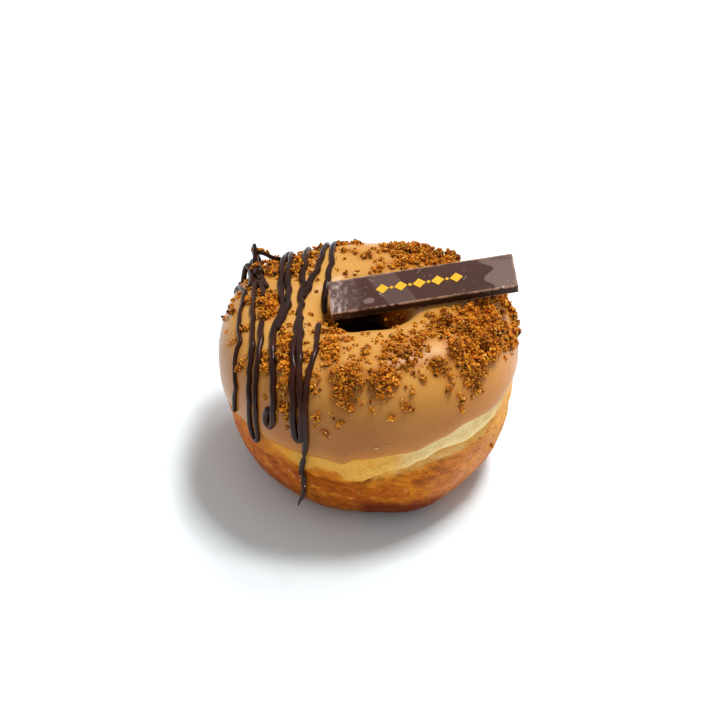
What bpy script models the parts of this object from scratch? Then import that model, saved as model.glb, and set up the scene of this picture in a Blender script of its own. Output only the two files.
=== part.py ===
"""Ring doughnut: a tall raised dough ring, caramel icing over its upper half
with crumbs and drizzle stuck to it, and a small chocolate bar over the hole.

Sizes are in millimetres and go to metres at the end. The base stands on
z = 0, the hole runs along +Z, and the front is the -Y side. A station on the
ring is an azimuth about +Z (0 at +X) and a section angle about the centre of
the dough's section (0 outward, 90 at the crest, 180 into the hole).
"""
import math
import random

import bmesh
import bpy
from mathutils import Matrix, Vector

MM = 0.001

# dough ring
RING_R = 44.2          # outer radius at the widest level
SECTION_R = 24.5       # radius of the circle through the section centres
WAIST_Z = 35.6         # height of the widest level
CREST_UP = 17.4        # crest above the widest level, on average
HOLE_R = 11.7          # radius of the hole in the dough, on average
BASE_CUT = 1.2         # how much of the rounded section the flat base cuts off
POW_OUT_UP = 2.6       # how square each quarter of the section is
POW_OUT_LOW = 2.45
POW_IN_UP = 2.9
POW_IN_LOW = 2.6
# swells and dents round the ring: azimuth, half width in degrees, size
SHOULDER = (142, 26, 5.5)      # outward, above the widest level
BELLY = (336, 24, 1.2)         # outward, below it
TUCK = (228, 26, -0.6)         # inward, below it
FOOT = (293, 17, 4.2)          # outward, close to the base only
HOLE_FRONT = (270, 45, -1.3)   # narrows the hole
CREST_FRONT = (270, 50, 1.2)   # raises the crest
HOLE_WAVES = (-0.8, 0.5)       # change of the hole's radius, once and twice round
CREST_TILT = (1.0, -1.5)       # rise of the crest toward +X and +Y
CREASE_WIDE = 1.5      # half width of the proof line
LIP_HIGH = 0.45        # lip over the proof line, as a share of its depth
LUMP = 0.35            # soft unevenness of the dough

# icing
GAP = 0.3              # free space between nodes that touch
ICING_THICK = 1.1
ICING_LIP = 0.5        # thickness right at the edge
LIP_RUN = 1.6          # length over which the edge rounds off
INNER_END = 168.0      # section angle where the icing stops inside the hole
INNER_WAVE = 5.0

# drizzle, crumbs and bar
STRAND_SIDES = 5
STRAND_STEP = 5.0
STRAND_SINK = 0.55     # height of a strand's centre over the icing, in radii
STATION_STEP = 14      # most degrees between the points that a strand follows
TAIL_CLEAR = 0.4       # extra gap under the strand on bare dough
GRAIN_SHARE = 0.16     # grains for each square millimetre of a clump's radius
GRAIN_MIN = 0.75
GRAIN_MAX = 2.1
GRAIN_ROUGH = (0.82, 1.15)   # spread of a grain's corners about its radius
GRAIN_LIFT = 1.3       # least height of its centre over the dough, in radii
GRAIN_PACK = 0.62      # least spacing of two grains, as a share of their radii
BAR = (55.9, 12.5, 3.3)
BAR_CENTRE = (15.9, 2.6, 58.3)
BAR_YAW = 2.6
BAR_RISE = 8.9         # the right end is higher
BAR_TILT = 16.5        # the front edge is lower
BAR_BEVEL = 0.35
SEED = 11

AZ_STEPS = 64
COVERED = (0, .02, .06, .13, .22, .33, .44, .55, .66, .78, .9, 1)
UNDER = (0, .06, .13, .22, .33, .44, .66, .78, .9, 1)   # the dough's rows under the icing
BASE_ROWS = (-58, -69, -80, -96, -118)   # -80 to -96 is the flat base
WALL_ROWS = (-143, -172)

# lower edge of the icing: azimuth, section angle
ICING_EDGE = ((0, 4), (60, 0), (120, -7), (180, -13), (207, -17), (224, -18),
              (237, -15), (253, -15), (260, -17), (266, -11), (281, -7),
              (298, 0), (307, 3.5), (322, 1.5), (334, 4.5))
# proof line round the dough: azimuth, section angle, depth
CREASE = ((0, -29, .8), (40, -31, 1.), (90, -28, .9), (140, -32, 1.),
          (200, -37, .9), (221, -43, .9), (228, -40, 1.1), (238, -37, 1.3),
          (243, -36, 1.1), (249, -40, 1.2), (258, -41, 1.2), (267, -39, .9),
          (271, -34, .4), (278, -28, .6), (283, -26, 1.3), (289, -21, 1.5),
          (298, -16, 1.6), (310, -19, 1.5), (317, -16.5, 1.3), (323, -15, 1.),
          (329, -17, .6), (345, -27, .5))
# drizzle strands: radius, then stations from the back to the front, with a
# third value where a strand stands clear of the icing
STRANDS = (
    (0.8, ((152, 12), (157, 34), (164.5, 46), (174.5, 48.5), (187, 48),
           (200.5, 44), (204, 36), (208.5, 26), (211.5, 15), (209.5, -12))),
    (1.0, ((157, 52), (162.5, 53.5), (173.5, 58.5), (190, 60), (199, 56.5),
            (208, 50.5), (214, 42), (218.5, 30), (220.8, 15), (220.5, 0),
            (220.3, -11), (221, -21))),
    (1.0, ((224, -23), (224.2, -13), (224.3, -4), (224.5, 11), (223.5, 23),
           (221.5, 34), (217, 46.5), (208.5, 58), (195, 66))),
    (1.05, ((124, 16), (128.5, 38), (137.5, 54), (148.5, 68.5), (163.5, 80),
           (182, 87), (195, 82), (203, 74), (216, 62), (226, 46), (232, 26),
           (233, 11), (232, 3))),
    (0.85, ((230, 4), (230, 12), (231, 24))),
    (0.95, ((120, 22), (127, 45), (135, 59.5), (146.5, 74), (162, 87.5),
           (181.5, 92), (197, 84), (207, 73))),
    (1.1, ((110, 6), (119, 44), (132, 74), (152, 97), (180, 104), (201, 98),
            (220, 82), (228, 68), (236, 54), (241, 32), (242, 15), (244, 4))),
    (0.95, ((245, 4), (245, 14), (245, 26), (242, 44), (235, 64), (221, 86),
            (200, 100))),
    (1.1, ((104, 14), (110, 46), (119, 72), (130, 90), (153, 103),
            (170, 103))),
    (1.0, ((100, 24), (106, 46), (112, 70), (116, 86), (130, 107), (142, 116),
           (157, 124), (172, 130))),
    (0.95, ((157, 53), (160, 58), (166, 64), (171, 66))),
    (1.0, ((133, 4, 0), (134, 16, 2.2), (137, 32, 6.3), (140.9, 43, 7.3),
           (142.7, 41.4, 4.4), (146, 40, 1), (152, 51, 0), (161.5, 65, 0))),
    (0.9, ((141, 12, 0), (142, 28, 2.2), (143.7, 37.8, 2.8), (146, 40, .6),
           (151.5, 48, 0), (156, 57, 0))),
    (0.95, ((147, 6, 0), (146, 22, 1), (145.7, 34, 2.6), (148.5, 39, 1),
           (155, 45, 0), (161, 49, 0))),
    (0.75, ((141, 40, 5), (140, 44, 4.2), (136.8, 44, 1.4), (133, 42, 0))),
    (0.9, ((217, 108), (235, 84), (241, 65), (244, 44), (246, 21), (247, 3),
           (246, -9))),
    (0.75, ((246, -9), (245, -20), (243, -35), (243, -46), (241, -54))),
)
TAIL = 16              # the strand that runs on down the bare dough
# crumb clumps: azimuth, section angle, radius
CLUMPS = (
    (337, 60, 7.3), (320, 56, 5), (334, 43, 4.4), (349, 50, 4.3),
    (334, 83, 4.3), (318, 38, 3.7), (306, 57, 3.7), (292, 92, 3),
    (319, 90, 3.1), (305, 87, 3.1), (346, 38, 2.8), (288, 74, 2.8),
    (282, 86, 2.4), (256, 52, 3.7), (263, 48, 3.7), (276, 55, 3.7),
    (278, 46, 2.4), (262, 36, 1.8), (302, 39, 2.1), (284, 35, 2.3),
    (293, 52, 1.8), (307, 28, 1.5), (278, 28, 1.5), (259, 23, 1.5),
    (240, 78, 2.8), (248, 72, 1.8), (212, 76, 2.8), (223, 66, 3.4),
    (228, 56, 3.4), (235, 40, 2.1), (237, 24, 2.4), (248, 43, 1.5),
    (218, 47, 2.2), (210, 30, 2.4), (194, 49, 2.8), (177, 40, 2.8),
    (176, 72, 4), (165, 62, 2.1), (156, 34, 2.8), (143, 40, 3.2),
    (148, 60, 2.8), (134, 40, 2.6), (134, 62, 3), (144, 78, 3.4),
    (120, 50, 2.6), (96, 48, 2.1), (78, 62, 2.8), (70, 48, 2.8),
    (60, 62, 3.4), (50, 56, 3.4), (46, 44, 2.4), (66, 93, 2.8),
    (90, 77, 1.8), (167, 144, 2.1), (54, 156, 1.5), (353, 110, 1.6),
    (113, 47, 2.4), (101, 44, 2))


def along(table, az):
    """Values of a table of stations at an azimuth, wrapped round the ring."""
    az %= 360
    for i, row in enumerate(table):
        nxt = table[(i + 1) % len(table)]
        a0, a1 = row[0], nxt[0] + (360 if i + 1 == len(table) else 0)
        if a0 <= az < a1:
            t = (az - a0) / (a1 - a0)
            t = t * t * (3 - 2 * t)
            return [p + (q - p) * t for p, q in zip(row[1:], nxt[1:])]


def bump(x, wide):
    return math.exp(-(x / wide) ** 2)


def swell(spec, az):
    """Size of a swell at an azimuth."""
    middle, wide, size = spec
    return size * bump(az % 360 - middle, wide)


def section(az, ang):
    """Distance of the dough's surface from the centre of its section."""
    a, t = math.radians(az), math.radians(ang)
    c, s = math.cos(t), math.sin(t)
    side = (swell(SHOULDER, az) if s > 0 else
            swell(BELLY, az) + swell(TUCK, az) + s * s * swell(FOOT, az))
    out = RING_R - SECTION_R + abs(s) * side
    hole = HOLE_R + swell(HOLE_FRONT, az) + sum(
        size * math.cos((k + 1) * a) for k, size in enumerate(HOLE_WAVES))
    wide = out if c > 0 else SECTION_R - hole
    crest = (CREST_UP + CREST_TILT[0] * math.cos(a) + CREST_TILT[1] * math.sin(a)
             + swell(CREST_FRONT, az))
    high = crest if s > 0 else WAIST_Z + BASE_CUT
    if s > 0:
        power = POW_OUT_UP if c > 0 else POW_IN_UP
    else:
        power = POW_OUT_LOW if c > 0 else POW_IN_LOW
    rho = ((abs(c) / wide) ** power + (abs(s) / high) ** power) ** (-1 / power)
    rho += LUMP * math.sin(3 * a + 2 * t) * math.sin(5 * a - t + 1) * min(1, abs(c) * 2)
    if c > 0:
        mid, deep = along(CREASE, az)
        off = math.radians(ang - mid) * rho
        rho -= deep * bump(off, CREASE_WIDE)
        rho += deep * LIP_HIGH * bump(off - 1.9 * CREASE_WIDE, 1.4 * CREASE_WIDE)
    if s < -1e-6:
        rho = min(rho, WAIST_Z / -s)
    return rho


def place(az, ang, off=0.0):
    """Point at a station, off millimetres clear of the dough."""
    a, t = math.radians(az), math.radians(ang)
    rho = section(az, ang) + off
    r = SECTION_R + rho * math.cos(t)
    return Vector((r * math.cos(a), r * math.sin(a), WAIST_Z + rho * math.sin(t)))


def covered_rows(az, shares=COVERED):
    """Section angles from the icing's lower edge to its edge in the hole."""
    edge = along(ICING_EDGE, az)[0]
    end = INNER_END + INNER_WAVE * math.sin(math.radians(3 * az))
    return [edge + (end - edge) * f for f in shares]


def bare_rows(az):
    """Section angles of the bare dough, from the icing's edge downward."""
    edge = along(ICING_EDGE, az)[0]
    mid = along(CREASE, az)[0]
    half = math.degrees(CREASE_WIDE / (RING_R - SECTION_R))
    rows = [(edge + mid + half) / 2, mid + half, mid, mid - half]
    last = rows[-1]
    rows += [last + (BASE_ROWS[0] - last) * f for f in (.33, .67)]
    return rows + list(BASE_ROWS) + list(WALL_ROWS)


def ring_mesh(name, rings):
    """Closed mesh through rings of points, joined last to first both ways."""
    bm = bmesh.new()
    grid = [[bm.verts.new(p) for p in ring] for ring in rings]
    n, m = len(grid), len(grid[0])
    for i in range(n):
        for j in range(m):
            a, b = grid[i][j], grid[i][(j + 1) % m]
            d, c = grid[(i + 1) % n][j], grid[(i + 1) % n][(j + 1) % m]
            bm.faces.new((a, b, c, d))
    return finish_mesh(bm, name)


def finish_mesh(bm, name):
    bmesh.ops.recalc_face_normals(bm, faces=bm.faces)
    mesh = bpy.data.meshes.new(name)
    bm.to_mesh(mesh)
    bm.free()
    obj = bpy.data.objects.new(name, mesh)
    bpy.context.scene.collection.objects.link(obj)
    return obj


def dough_ring():
    rings = []
    for i in range(AZ_STEPS):
        az = 360 * i / AZ_STEPS
        angles = covered_rows(az, UNDER)[::-1] + bare_rows(az)
        rings.append([place(az, t) for t in angles])
    return ring_mesh("dough_ring", rings)


def icing_depth(ang, rows):
    """Thickness of the icing, rounded off toward both of its edges."""
    near = min(ang - rows[0], rows[-1] - ang)
    run = min(1, math.radians(near) * (RING_R - SECTION_R) / LIP_RUN)
    return ICING_LIP + (ICING_THICK - ICING_LIP) * math.sqrt(run * (2 - run))


def icing_shell():
    rings = []
    for i in range(AZ_STEPS):
        az = 360 * i / AZ_STEPS
        rows = covered_rows(az)
        outer = [place(az, t, GAP + icing_depth(t, rows)) for t in rows]
        inner = [place(az, t, GAP) for t in rows]
        rings.append(outer + inner[::-1])
    return ring_mesh("caramel_icing", rings)


def smooth_path(points, step):
    """Points along a Catmull-Rom curve, about step apart."""
    out = []
    for i in range(len(points) - 1):
        p0, p1 = points[max(0, i - 1)], points[i]
        p2, p3 = points[i + 1], points[min(len(points) - 1, i + 2)]
        n = max(1, round((p2 - p1).length / step))
        for k in range(n):
            t = k / n
            out.append(.5 * (2 * p1 + (p2 - p0) * t + (2 * p0 - 5 * p1 + 4 * p2 - p3) * t ** 2
                             + (3 * p1 - p0 - 3 * p2 + p3) * t ** 3))
    return out + [points[-1]]


def fine_stations(table, most):
    """Stations with more put in between, so that a strand hugs the ring."""
    out = []
    for here, nxt in zip(table, table[1:]):
        n = max(1, math.ceil(max(abs(q - p) for p, q in zip(here, nxt)) / most))
        out += [[p + (q - p) * k / n for p, q in zip(here, nxt)] for k in range(n)]
    return out + [table[-1]]


def strand_path(index):
    """Centre line of a strand, part sunk in the icing or clear of bare dough."""
    radius, table = STRANDS[index]
    first = GAP + ICING_THICK + STRAND_SINK * radius
    rest = GAP + radius + TAIL_CLEAR if index == TAIL else first
    stops = fine_stations(table, STATION_STEP)
    points = []
    for k, (az, ang, *lift) in enumerate(stops):
        off = first + (rest - first) * min(1, k / 2) + sum(lift)
        points.append(place(az, ang, off))
    return smooth_path(points, STRAND_STEP)


def strand_radius(index, i, last):
    """Radius at one ring of a strand: uneven, and slimmer at its ends."""
    radius = STRANDS[index][0]
    if index == TAIL:
        return radius * (1 - .6 * (i / last) ** 2)
    return radius * (.55 if i in (0, last) else 1) * (1 + .1 * math.sin(1.7 * i + index))


def strand(index):
    path = strand_path(index)
    last = len(path) - 1
    bm = bmesh.new()
    loops = []
    side = (path[1] - path[0]).cross(Vector((path[0].x, path[0].y, WAIST_Z)))
    for i, p in enumerate(path):
        d = (path[min(i + 1, last)] - path[max(i - 1, 0)]).normalized()
        side = (side - d * side.dot(d)).normalized()
        up = side.cross(d)
        r = strand_radius(index, i, last)
        ring = []
        for k in range(STRAND_SIDES):
            w = 2 * math.pi * (k + .5) / STRAND_SIDES
            ring.append(bm.verts.new(p + r * (side * math.cos(w) + up * math.sin(w))))
        loops.append(ring)
    for lo, hi in zip(loops, loops[1:]):
        for k in range(STRAND_SIDES):
            j = (k + 1) % STRAND_SIDES
            bm.faces.new((lo[k], lo[j], hi[j], hi[k]))
    for ring in (loops[0], loops[-1]):
        bm.faces.new(ring)
    return finish_mesh(bm, f"strand_{index}")


def bar_matrix():
    return (Matrix.Translation(BAR_CENTRE)
            @ Matrix.Rotation(math.radians(BAR_YAW), 4, "Z")
            @ Matrix.Rotation(math.radians(-BAR_RISE), 4, "Y")
            @ Matrix.Rotation(math.radians(BAR_TILT), 4, "X"))


def bar_distance(point):
    """Distance from a point to the bar, 0 inside it."""
    local = bar_matrix().inverted() @ point
    over = [max(0, abs(v) - side / 2) for v, side in zip(local, BAR)]
    return math.sqrt(sum(v * v for v in over))


def grains():
    """Centres and radii of the crumbs that are large enough to be solids."""
    rng = random.Random(SEED)
    drawn = []
    for az, ang, radius in CLUMPS:
        count = max(1, round(GRAIN_SHARE * radius ** 2))
        size = min(GRAIN_MAX, max(GRAIN_MIN, .45 * radius))
        for _ in range(count):
            spread = radius * math.sqrt(rng.random()) * (count > 1)
            turn = rng.uniform(0, 2 * math.pi)
            here = place(az, ang)
            flat = math.hypot(here.x, here.y)
            daz = math.degrees(spread * math.cos(turn) / flat)
            dang = math.degrees(spread * math.sin(turn) / section(az, ang))
            r = size * rng.uniform(.75, 1.1)
            drawn.append((r, az + daz, ang + dang, rng.uniform(.1, .5)))
    drawn.sort(key=lambda g: -g[0])
    kept = []
    for r, az, ang, proud in drawn:
        centre = place(az, ang, GAP + max(ICING_THICK + proud * r, GRAIN_LIFT * r))
        if bar_distance(centre) < GRAIN_ROUGH[1] * r + GAP:
            continue
        if all((centre - c).length > GRAIN_PACK * (r + q) for c, q in kept):
            kept.append((centre, r))
    return kept


def grain(index, centre, radius):
    rng = random.Random(SEED * 1000 + index)
    bm = bmesh.new()
    bmesh.ops.create_uvsphere(bm, u_segments=5, v_segments=4, radius=radius)
    turn = Matrix.Rotation(rng.uniform(0, math.pi), 4, "X") @ Matrix.Rotation(
        rng.uniform(0, math.pi), 4, "Y")
    for v in bm.verts:
        v.co = centre + turn @ (v.co * rng.uniform(*GRAIN_ROUGH))
    bmesh.ops.triangulate(bm, faces=bm.faces)
    return finish_mesh(bm, f"grain_{index}")


def keep_largest(obj):
    """Fill sealed hollows and drop loose scrap: one closed skin is kept."""
    bm = bmesh.new()
    bm.from_mesh(obj.data)
    bmesh.ops.triangulate(bm, faces=bm.faces)
    left, parts = set(bm.faces), []
    while left:
        stack, part = [left.pop()], []
        while stack:
            face = stack.pop()
            part.append(face)
            for edge in face.edges:
                if len(edge.link_faces) == 2:
                    for other in edge.link_faces:
                        if other in left:
                            left.discard(other)
                            stack.append(other)
        parts.append(part)
    parts.sort(key=len)
    scrap = [face for part in parts[:-1] for face in part]
    bmesh.ops.delete(bm, geom=scrap, context="FACES")
    bm.to_mesh(obj.data)
    bm.free()


def fuse(base, parts):
    """One union of everything stuck to the icing with the icing itself."""
    group = bpy.data.collections.new("toppings")
    bpy.context.scene.collection.children.link(group)
    for obj in parts:
        bpy.context.scene.collection.objects.unlink(obj)
        group.objects.link(obj)
    mod = base.modifiers.new("fuse", "BOOLEAN")
    mod.operation = "UNION"
    mod.operand_type = "COLLECTION"
    mod.collection = group
    mod.solver = "MANIFOLD"
    deps = bpy.context.evaluated_depsgraph_get()
    mesh = bpy.data.meshes.new_from_object(base.evaluated_get(deps))
    base.modifiers.clear()
    base.data = mesh
    for obj in list(group.objects):
        bpy.data.objects.remove(obj, do_unlink=True)
    bpy.data.collections.remove(group)
    keep_largest(base)


def chocolate_bar():
    bm = bmesh.new()
    bmesh.ops.create_cube(bm, size=1)
    for v in bm.verts:
        v.co = Vector(v.co[k] * BAR[k] for k in range(3))
    bmesh.ops.bevel(bm, geom=bm.edges[:], offset=BAR_BEVEL, segments=2, affect="EDGES",
                    profile=.5)
    bmesh.ops.transform(bm, matrix=bar_matrix(), verts=bm.verts)
    return finish_mesh(bm, "chocolate_bar")


def colour(obj, name, rgb, rough):
    mat = bpy.data.materials.new(name)
    mat.use_nodes = True
    shader = mat.node_tree.nodes["Principled BSDF"]
    shader.inputs["Base Color"].default_value = (*rgb, 1)
    shader.inputs["Roughness"].default_value = rough
    obj.data.materials.clear()
    obj.data.materials.append(mat)


def to_metres(objects):
    """Scale to metres, centre the bounding box and stand it on z = 0."""
    points = [v.co for obj in objects for v in obj.data.vertices]
    low = [min(p[k] for p in points) for k in range(3)]
    high = [max(p[k] for p in points) for k in range(3)]
    shift = Vector((-(low[0] + high[0]) / 2, -(low[1] + high[1]) / 2, -low[2]))
    matrix = Matrix.Scale(MM, 4) @ Matrix.Translation(shift)
    for obj in objects:
        obj.data.transform(matrix)
        obj.data.update()


def main():
    for obj in list(bpy.data.objects):
        bpy.data.objects.remove(obj, do_unlink=True)
    dough = dough_ring()
    icing = icing_shell()
    toppings = [strand(i) for i in range(len(STRANDS))]
    toppings += [grain(i, c, r) for i, (c, r) in enumerate(grains())]
    fuse(icing, toppings)
    bar = chocolate_bar()
    colour(dough, "dough", (.62, .30, .10), .7)
    colour(icing, "icing", (.60, .36, .16), .3)
    colour(bar, "chocolate", (.07, .035, .025), .35)
    to_metres([dough, icing, bar])


main()
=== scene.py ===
"""Looks of the ring doughnut: fried dough, caramel icing, crumbs, chocolate
drizzle and the chocolate bar over the hole.

Shapes follow the formulas of the part's solids at a finer step. Sizes are in
millimetres until a mesh is made. A station is an azimuth about +Z (0 at +X)
and a section angle about the centre of the dough's section (0 outward, 90 at
the crest, 180 into the hole), both in degrees.
"""
import math
import random
from types import SimpleNamespace

import bpy
import numpy as np
from mathutils import Matrix, Vector
from mathutils.kdtree import KDTree


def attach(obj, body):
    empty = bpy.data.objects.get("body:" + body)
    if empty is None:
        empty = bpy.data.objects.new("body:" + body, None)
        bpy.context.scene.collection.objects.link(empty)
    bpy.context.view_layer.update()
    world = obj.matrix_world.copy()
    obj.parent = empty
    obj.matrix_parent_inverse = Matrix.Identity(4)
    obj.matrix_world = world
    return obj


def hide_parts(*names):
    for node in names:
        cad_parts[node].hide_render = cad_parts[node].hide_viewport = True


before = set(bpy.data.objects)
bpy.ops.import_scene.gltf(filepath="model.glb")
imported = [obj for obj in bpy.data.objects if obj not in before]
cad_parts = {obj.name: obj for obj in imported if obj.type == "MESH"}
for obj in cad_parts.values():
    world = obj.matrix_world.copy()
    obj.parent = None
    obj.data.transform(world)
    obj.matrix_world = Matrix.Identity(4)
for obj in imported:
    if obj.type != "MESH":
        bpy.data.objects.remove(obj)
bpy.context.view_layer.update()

MM = 0.001
SHIFT = np.array((0.023, 0.014, 0.0))   # recentring of the solids
SEED = 11

# the solids' own values, as in the part's source
RING_R = 44.2
SECTION_R = 24.5
WAIST_Z = 35.6
CREST_UP = 17.4
HOLE_R = 11.7
BASE_CUT = 1.2
POW_OUT_UP, POW_OUT_LOW = 2.6, 2.45
POW_IN_UP, POW_IN_LOW = 2.9, 2.6
# swells and dents round the ring: azimuth, half width in degrees, size
SHOULDER = (142, 26, 5.5)
BELLY = (336, 24, 1.2)
TUCK = (228, 26, -0.6)
FOOT = (293, 17, 4.2)
HOLE_FRONT = (270, 45, -1.3)
CREST_FRONT = (270, 50, 1.2)
HOLE_WAVES = (-0.8, 0.5)
CREST_TILT = (1.0, -1.5)
CREASE_WIDE = 1.5
LIP_HIGH = 0.45
LUMP = 0.35
GAP = 0.3
ICING_THICK = 1.1
INNER_END = 168.0
INNER_WAVE = 5.0
STRAND_SINK = 0.55
TAIL_CLEAR = 0.4
GRAIN_SHARE = 0.16
GRAIN_MIN, GRAIN_MAX = 0.75, 2.1
GRAIN_LIFT = 1.3
GRAIN_PACK = 0.62
BAR = (55.9, 12.5, 3.3)
BAR_CENTRE = (15.9, 2.6, 58.3)
BAR_YAW, BAR_RISE, BAR_TILT = 2.6, 8.9, 16.5
BAR_BEVEL = 0.35

ICING_EDGE = ((0, 4), (60, 0), (120, -7), (180, -13), (207, -17), (224, -18),
              (237, -15), (253, -15), (260, -17), (266, -11), (281, -7),
              (298, 0), (307, 3.5), (322, 1.5), (334, 4.5))
CREASE = ((0, -29, .8), (40, -31, 1.), (90, -28, .9), (140, -32, 1.),
          (200, -37, .9), (221, -43, .9), (228, -40, 1.1), (238, -37, 1.3),
          (243, -36, 1.1), (249, -40, 1.2), (258, -41, 1.2), (267, -39, .9),
          (271, -34, .4), (278, -28, .6), (283, -26, 1.3), (289, -21, 1.5),
          (298, -16, 1.6), (310, -19, 1.5), (317, -16.5, 1.3), (323, -15, 1.),
          (329, -17, .6), (345, -27, .5))
# where the pale band under the icing ends and how pale it is
PALE = ((0, -20, .3), (60, -18, .25), (120, -24, .35), (180, -26, .15),
        (212, -30, 0), (221, -28, .05), (228, -26, .35), (233, -25, .6),
        (240, -27, .7), (246, -30, .8), (251, -28, .8), (257, -28, .85),
        (262, -34, .9), (269, -34, .95), (276, -30.5, 1.), (284, -28, 1.),
        (289, -25, 1.), (296, -23, 1.), (302, -23.5, 1.), (308, -26, 1.),
        (313, -23, 1.), (318, -22, 1.), (324, -18, 1.), (328, -8, .7),
        (334, -4, .45), (345, -12, .3))
# sharp folds of the skin: azimuth, section angle, height of the lip, depth of
# the cut under it
PROOF_FOLD = ((0, -20, 0, 0), (212, -36, 0, 0), (222, -41, .2, .5),
              (228, -37, .5, 1.2), (233, -35, .6, 1.4), (238, -33, .6, 1.4),
              (242, -31.5, .5, 1.2), (246, -35, .3, .6), (250, -37.3, .5, 1.),
              (258, -38, .6, 1.3), (264, -37, .6, 1.4), (267.5, -36.5, .4, 1.2),
              (270, -34, .2, .6), (272.5, -30, .15, .3), (278, -25.5, .3, .1),
              (282, -23, .9, .1), (287.5, -19, 1.2, .1), (291, -16, 1.3, .1),
              (299, -13, 1.4, .1), (304, -14.2, 1.4, .1), (310, -16.2, 1.3, .1),
              (317, -13.2, 1.1, .1), (323, -11, .8, .1), (327, -8, .3, 0),
              (331, -8, 0, 0))
SMALL_FOLD = ((0, -20, 0, 0), (267, -24, 0, 0), (271.8, -21.5, .5, .1),
              (275.2, -16.2, .7, .15), (281.5, -9.2, .6, .1), (285, -5, .2, 0),
              (288, -3, 0, 0))
# small blisters on the crust: azimuth, section angle, radius
BLISTERS = ((223, -49, .9), (226, -47, .7), (229, -50, .6), (236.5, -42, 1.),
            (239, -44, .7), (234, -45, .6), (221, -54, .8), (247, -46, .6),
            (252, -49, .7), (263, -52, .8), (266, -47, .6), (271, -50, .7),
            (218, -46, .6), (258, -50, .5), (284, -43, .6), (296, -38, .7))

# drizzle: radius, then stations along the strand, with a third value where it
# stands clear of the icing; a hairpin is one strand here
STRANDS = (
    (0.7, ((152, 12), (157, 34), (164.5, 46), (174.5, 48.5), (187, 48),
           (200.5, 44), (204, 36), (208.5, 26), (211.5, 15), (209.5, -12))),
    (0.85, ((171, 66), (166, 64), (160, 58), (157, 53), (158.5, 51.5),
           (163.5, 54), (173.5, 58.5), (190, 60), (199, 56.5), (208, 50.5),
           (214, 42), (218.5, 30), (220.8, 15), (220.5, 0), (220.3, -11),
           (221, -19), (222.6, -22.5), (224.2, -20), (224.4, -13), (224.3, -4),
           (224.5, 11), (223.5, 23), (221.5, 34), (217, 46.5), (208.5, 58),
           (195, 66))),
    (1.0, ((207, 73), (197, 84), (181.5, 92), (162, 87.5), (146.5, 74),
           (135, 59.5), (128.5, 46), (127, 41), (129, 41), (138, 55),
           (148.5, 68.5), (163.5, 80), (182, 87), (195, 82), (203, 74),
           (216, 62.5), (224, 52.5), (229.5, 41), (232.8, 27), (233.3, 10),
           (232, 3.5), (230.2, 6), (230, 12), (231.2, 20))),
    (1.0, ((110, 6), (119, 44), (132, 74), (152, 97), (180, 104), (201, 98),
            (220, 82), (228, 68), (236, 54), (241, 32), (242, 15), (242.8, 5),
            (244.2, 2), (245.4, 5), (245, 14), (245, 26), (242, 44), (235, 64),
            (221, 86), (200, 100))),
    (1.05, ((104, 14), (110, 46), (119, 72), (130, 90), (153, 103),
            (170, 103))),
    (0.95, ((100, 24), (106, 46), (112, 70), (116, 86), (130, 107), (142, 116),
           (157, 124), (172, 130))),
    (1.0, ((133, 4, 0), (134, 16, 2.2), (137, 32, 6.3), (140.9, 43, 7.3),
           (142.7, 41.4, 4.4), (146, 40, 1), (152, 51, 0), (161.5, 65, 0))),
    (0.9, ((141, 12, 0), (142, 28, 2.2), (143.7, 37.8, 2.8), (146, 40, .6),
           (151.5, 48, 0), (156, 57, 0))),
    (0.95, ((147, 6, 0), (146, 22, 1), (145.7, 34, 2.6), (148.5, 39, 1),
           (155, 45, 0), (161, 49, 0))),
    (0.7, ((141, 40, 5), (140, 44, 4.2), (136.8, 44, 1.4), (133, 42, 0))),
    (1.6, ((143.5, 37, 0), (147, 43, .5), (151.5, 50, 0))),
    (0.85, ((217, 108), (226, 99), (235, 86), (239.5, 76), (242, 63),
           (243.8, 50), (245.5, 36.5), (246.5, 22), (247, 5), (246.5, -7), (245.9, -15),
           (244.9, -24), (244.3, -31), (244.4, -40), (244, -48), (241.8, -56),
           (239.6, -60.5, .9), (238.3, -63, 2.2))),
)
TAIL, TAIL_FROM = 11, -9   # the strand that runs on down the bare dough
PINCH_Z = 30.4             # where the tail is thinnest
TIP_RUN = 7.0              # length of the tail's tapered tip
SPIKE, SPIKE_RUN = 6, 5.0  # the loose strand with the sharp peak, and its taper

# crumb clumps: azimuth, section angle, radius
CLUMPS = (
    (337, 60, 7.3), (320, 56, 5), (334, 43, 4.4), (349, 50, 4.3),
    (334, 83, 4.3), (318, 38, 3.7), (306, 57, 3.7), (292, 92, 3),
    (319, 90, 3.1), (305, 87, 3.1), (346, 38, 2.8), (288, 74, 2.8),
    (282, 86, 2.4), (256, 52, 3.7), (263, 48, 3.7), (276, 55, 3.7),
    (278, 46, 2.4), (262, 36, 1.8), (302, 39, 2.1), (284, 35, 2.3),
    (293, 52, 1.8), (307, 28, 1.5), (278, 28, 1.5), (259, 23, 1.5),
    (240, 78, 2.8), (248, 72, 1.8), (212, 76, 2.8), (223, 66, 3.4),
    (228, 56, 3.4), (235, 40, 2.1), (237, 24, 2.4), (248, 43, 1.5),
    (218, 47, 2.2), (210, 30, 2.4), (194, 49, 2.8), (177, 40, 2.8),
    (176, 72, 4), (165, 62, 2.1), (156, 34, 2.8), (143, 40, 3.2),
    (148, 60, 2.8), (134, 40, 2.6), (134, 62, 3), (144, 78, 3.4),
    (120, 50, 2.6), (96, 48, 2.1), (78, 62, 2.8), (70, 48, 2.8),
    (60, 62, 3.4), (50, 56, 3.4), (46, 44, 2.4), (66, 93, 2.8),
    (90, 77, 1.8), (167, 144, 2.1), (54, 156, 1.5), (353, 110, 1.6),
    (113, 47, 2.4), (101, 44, 2))
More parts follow.
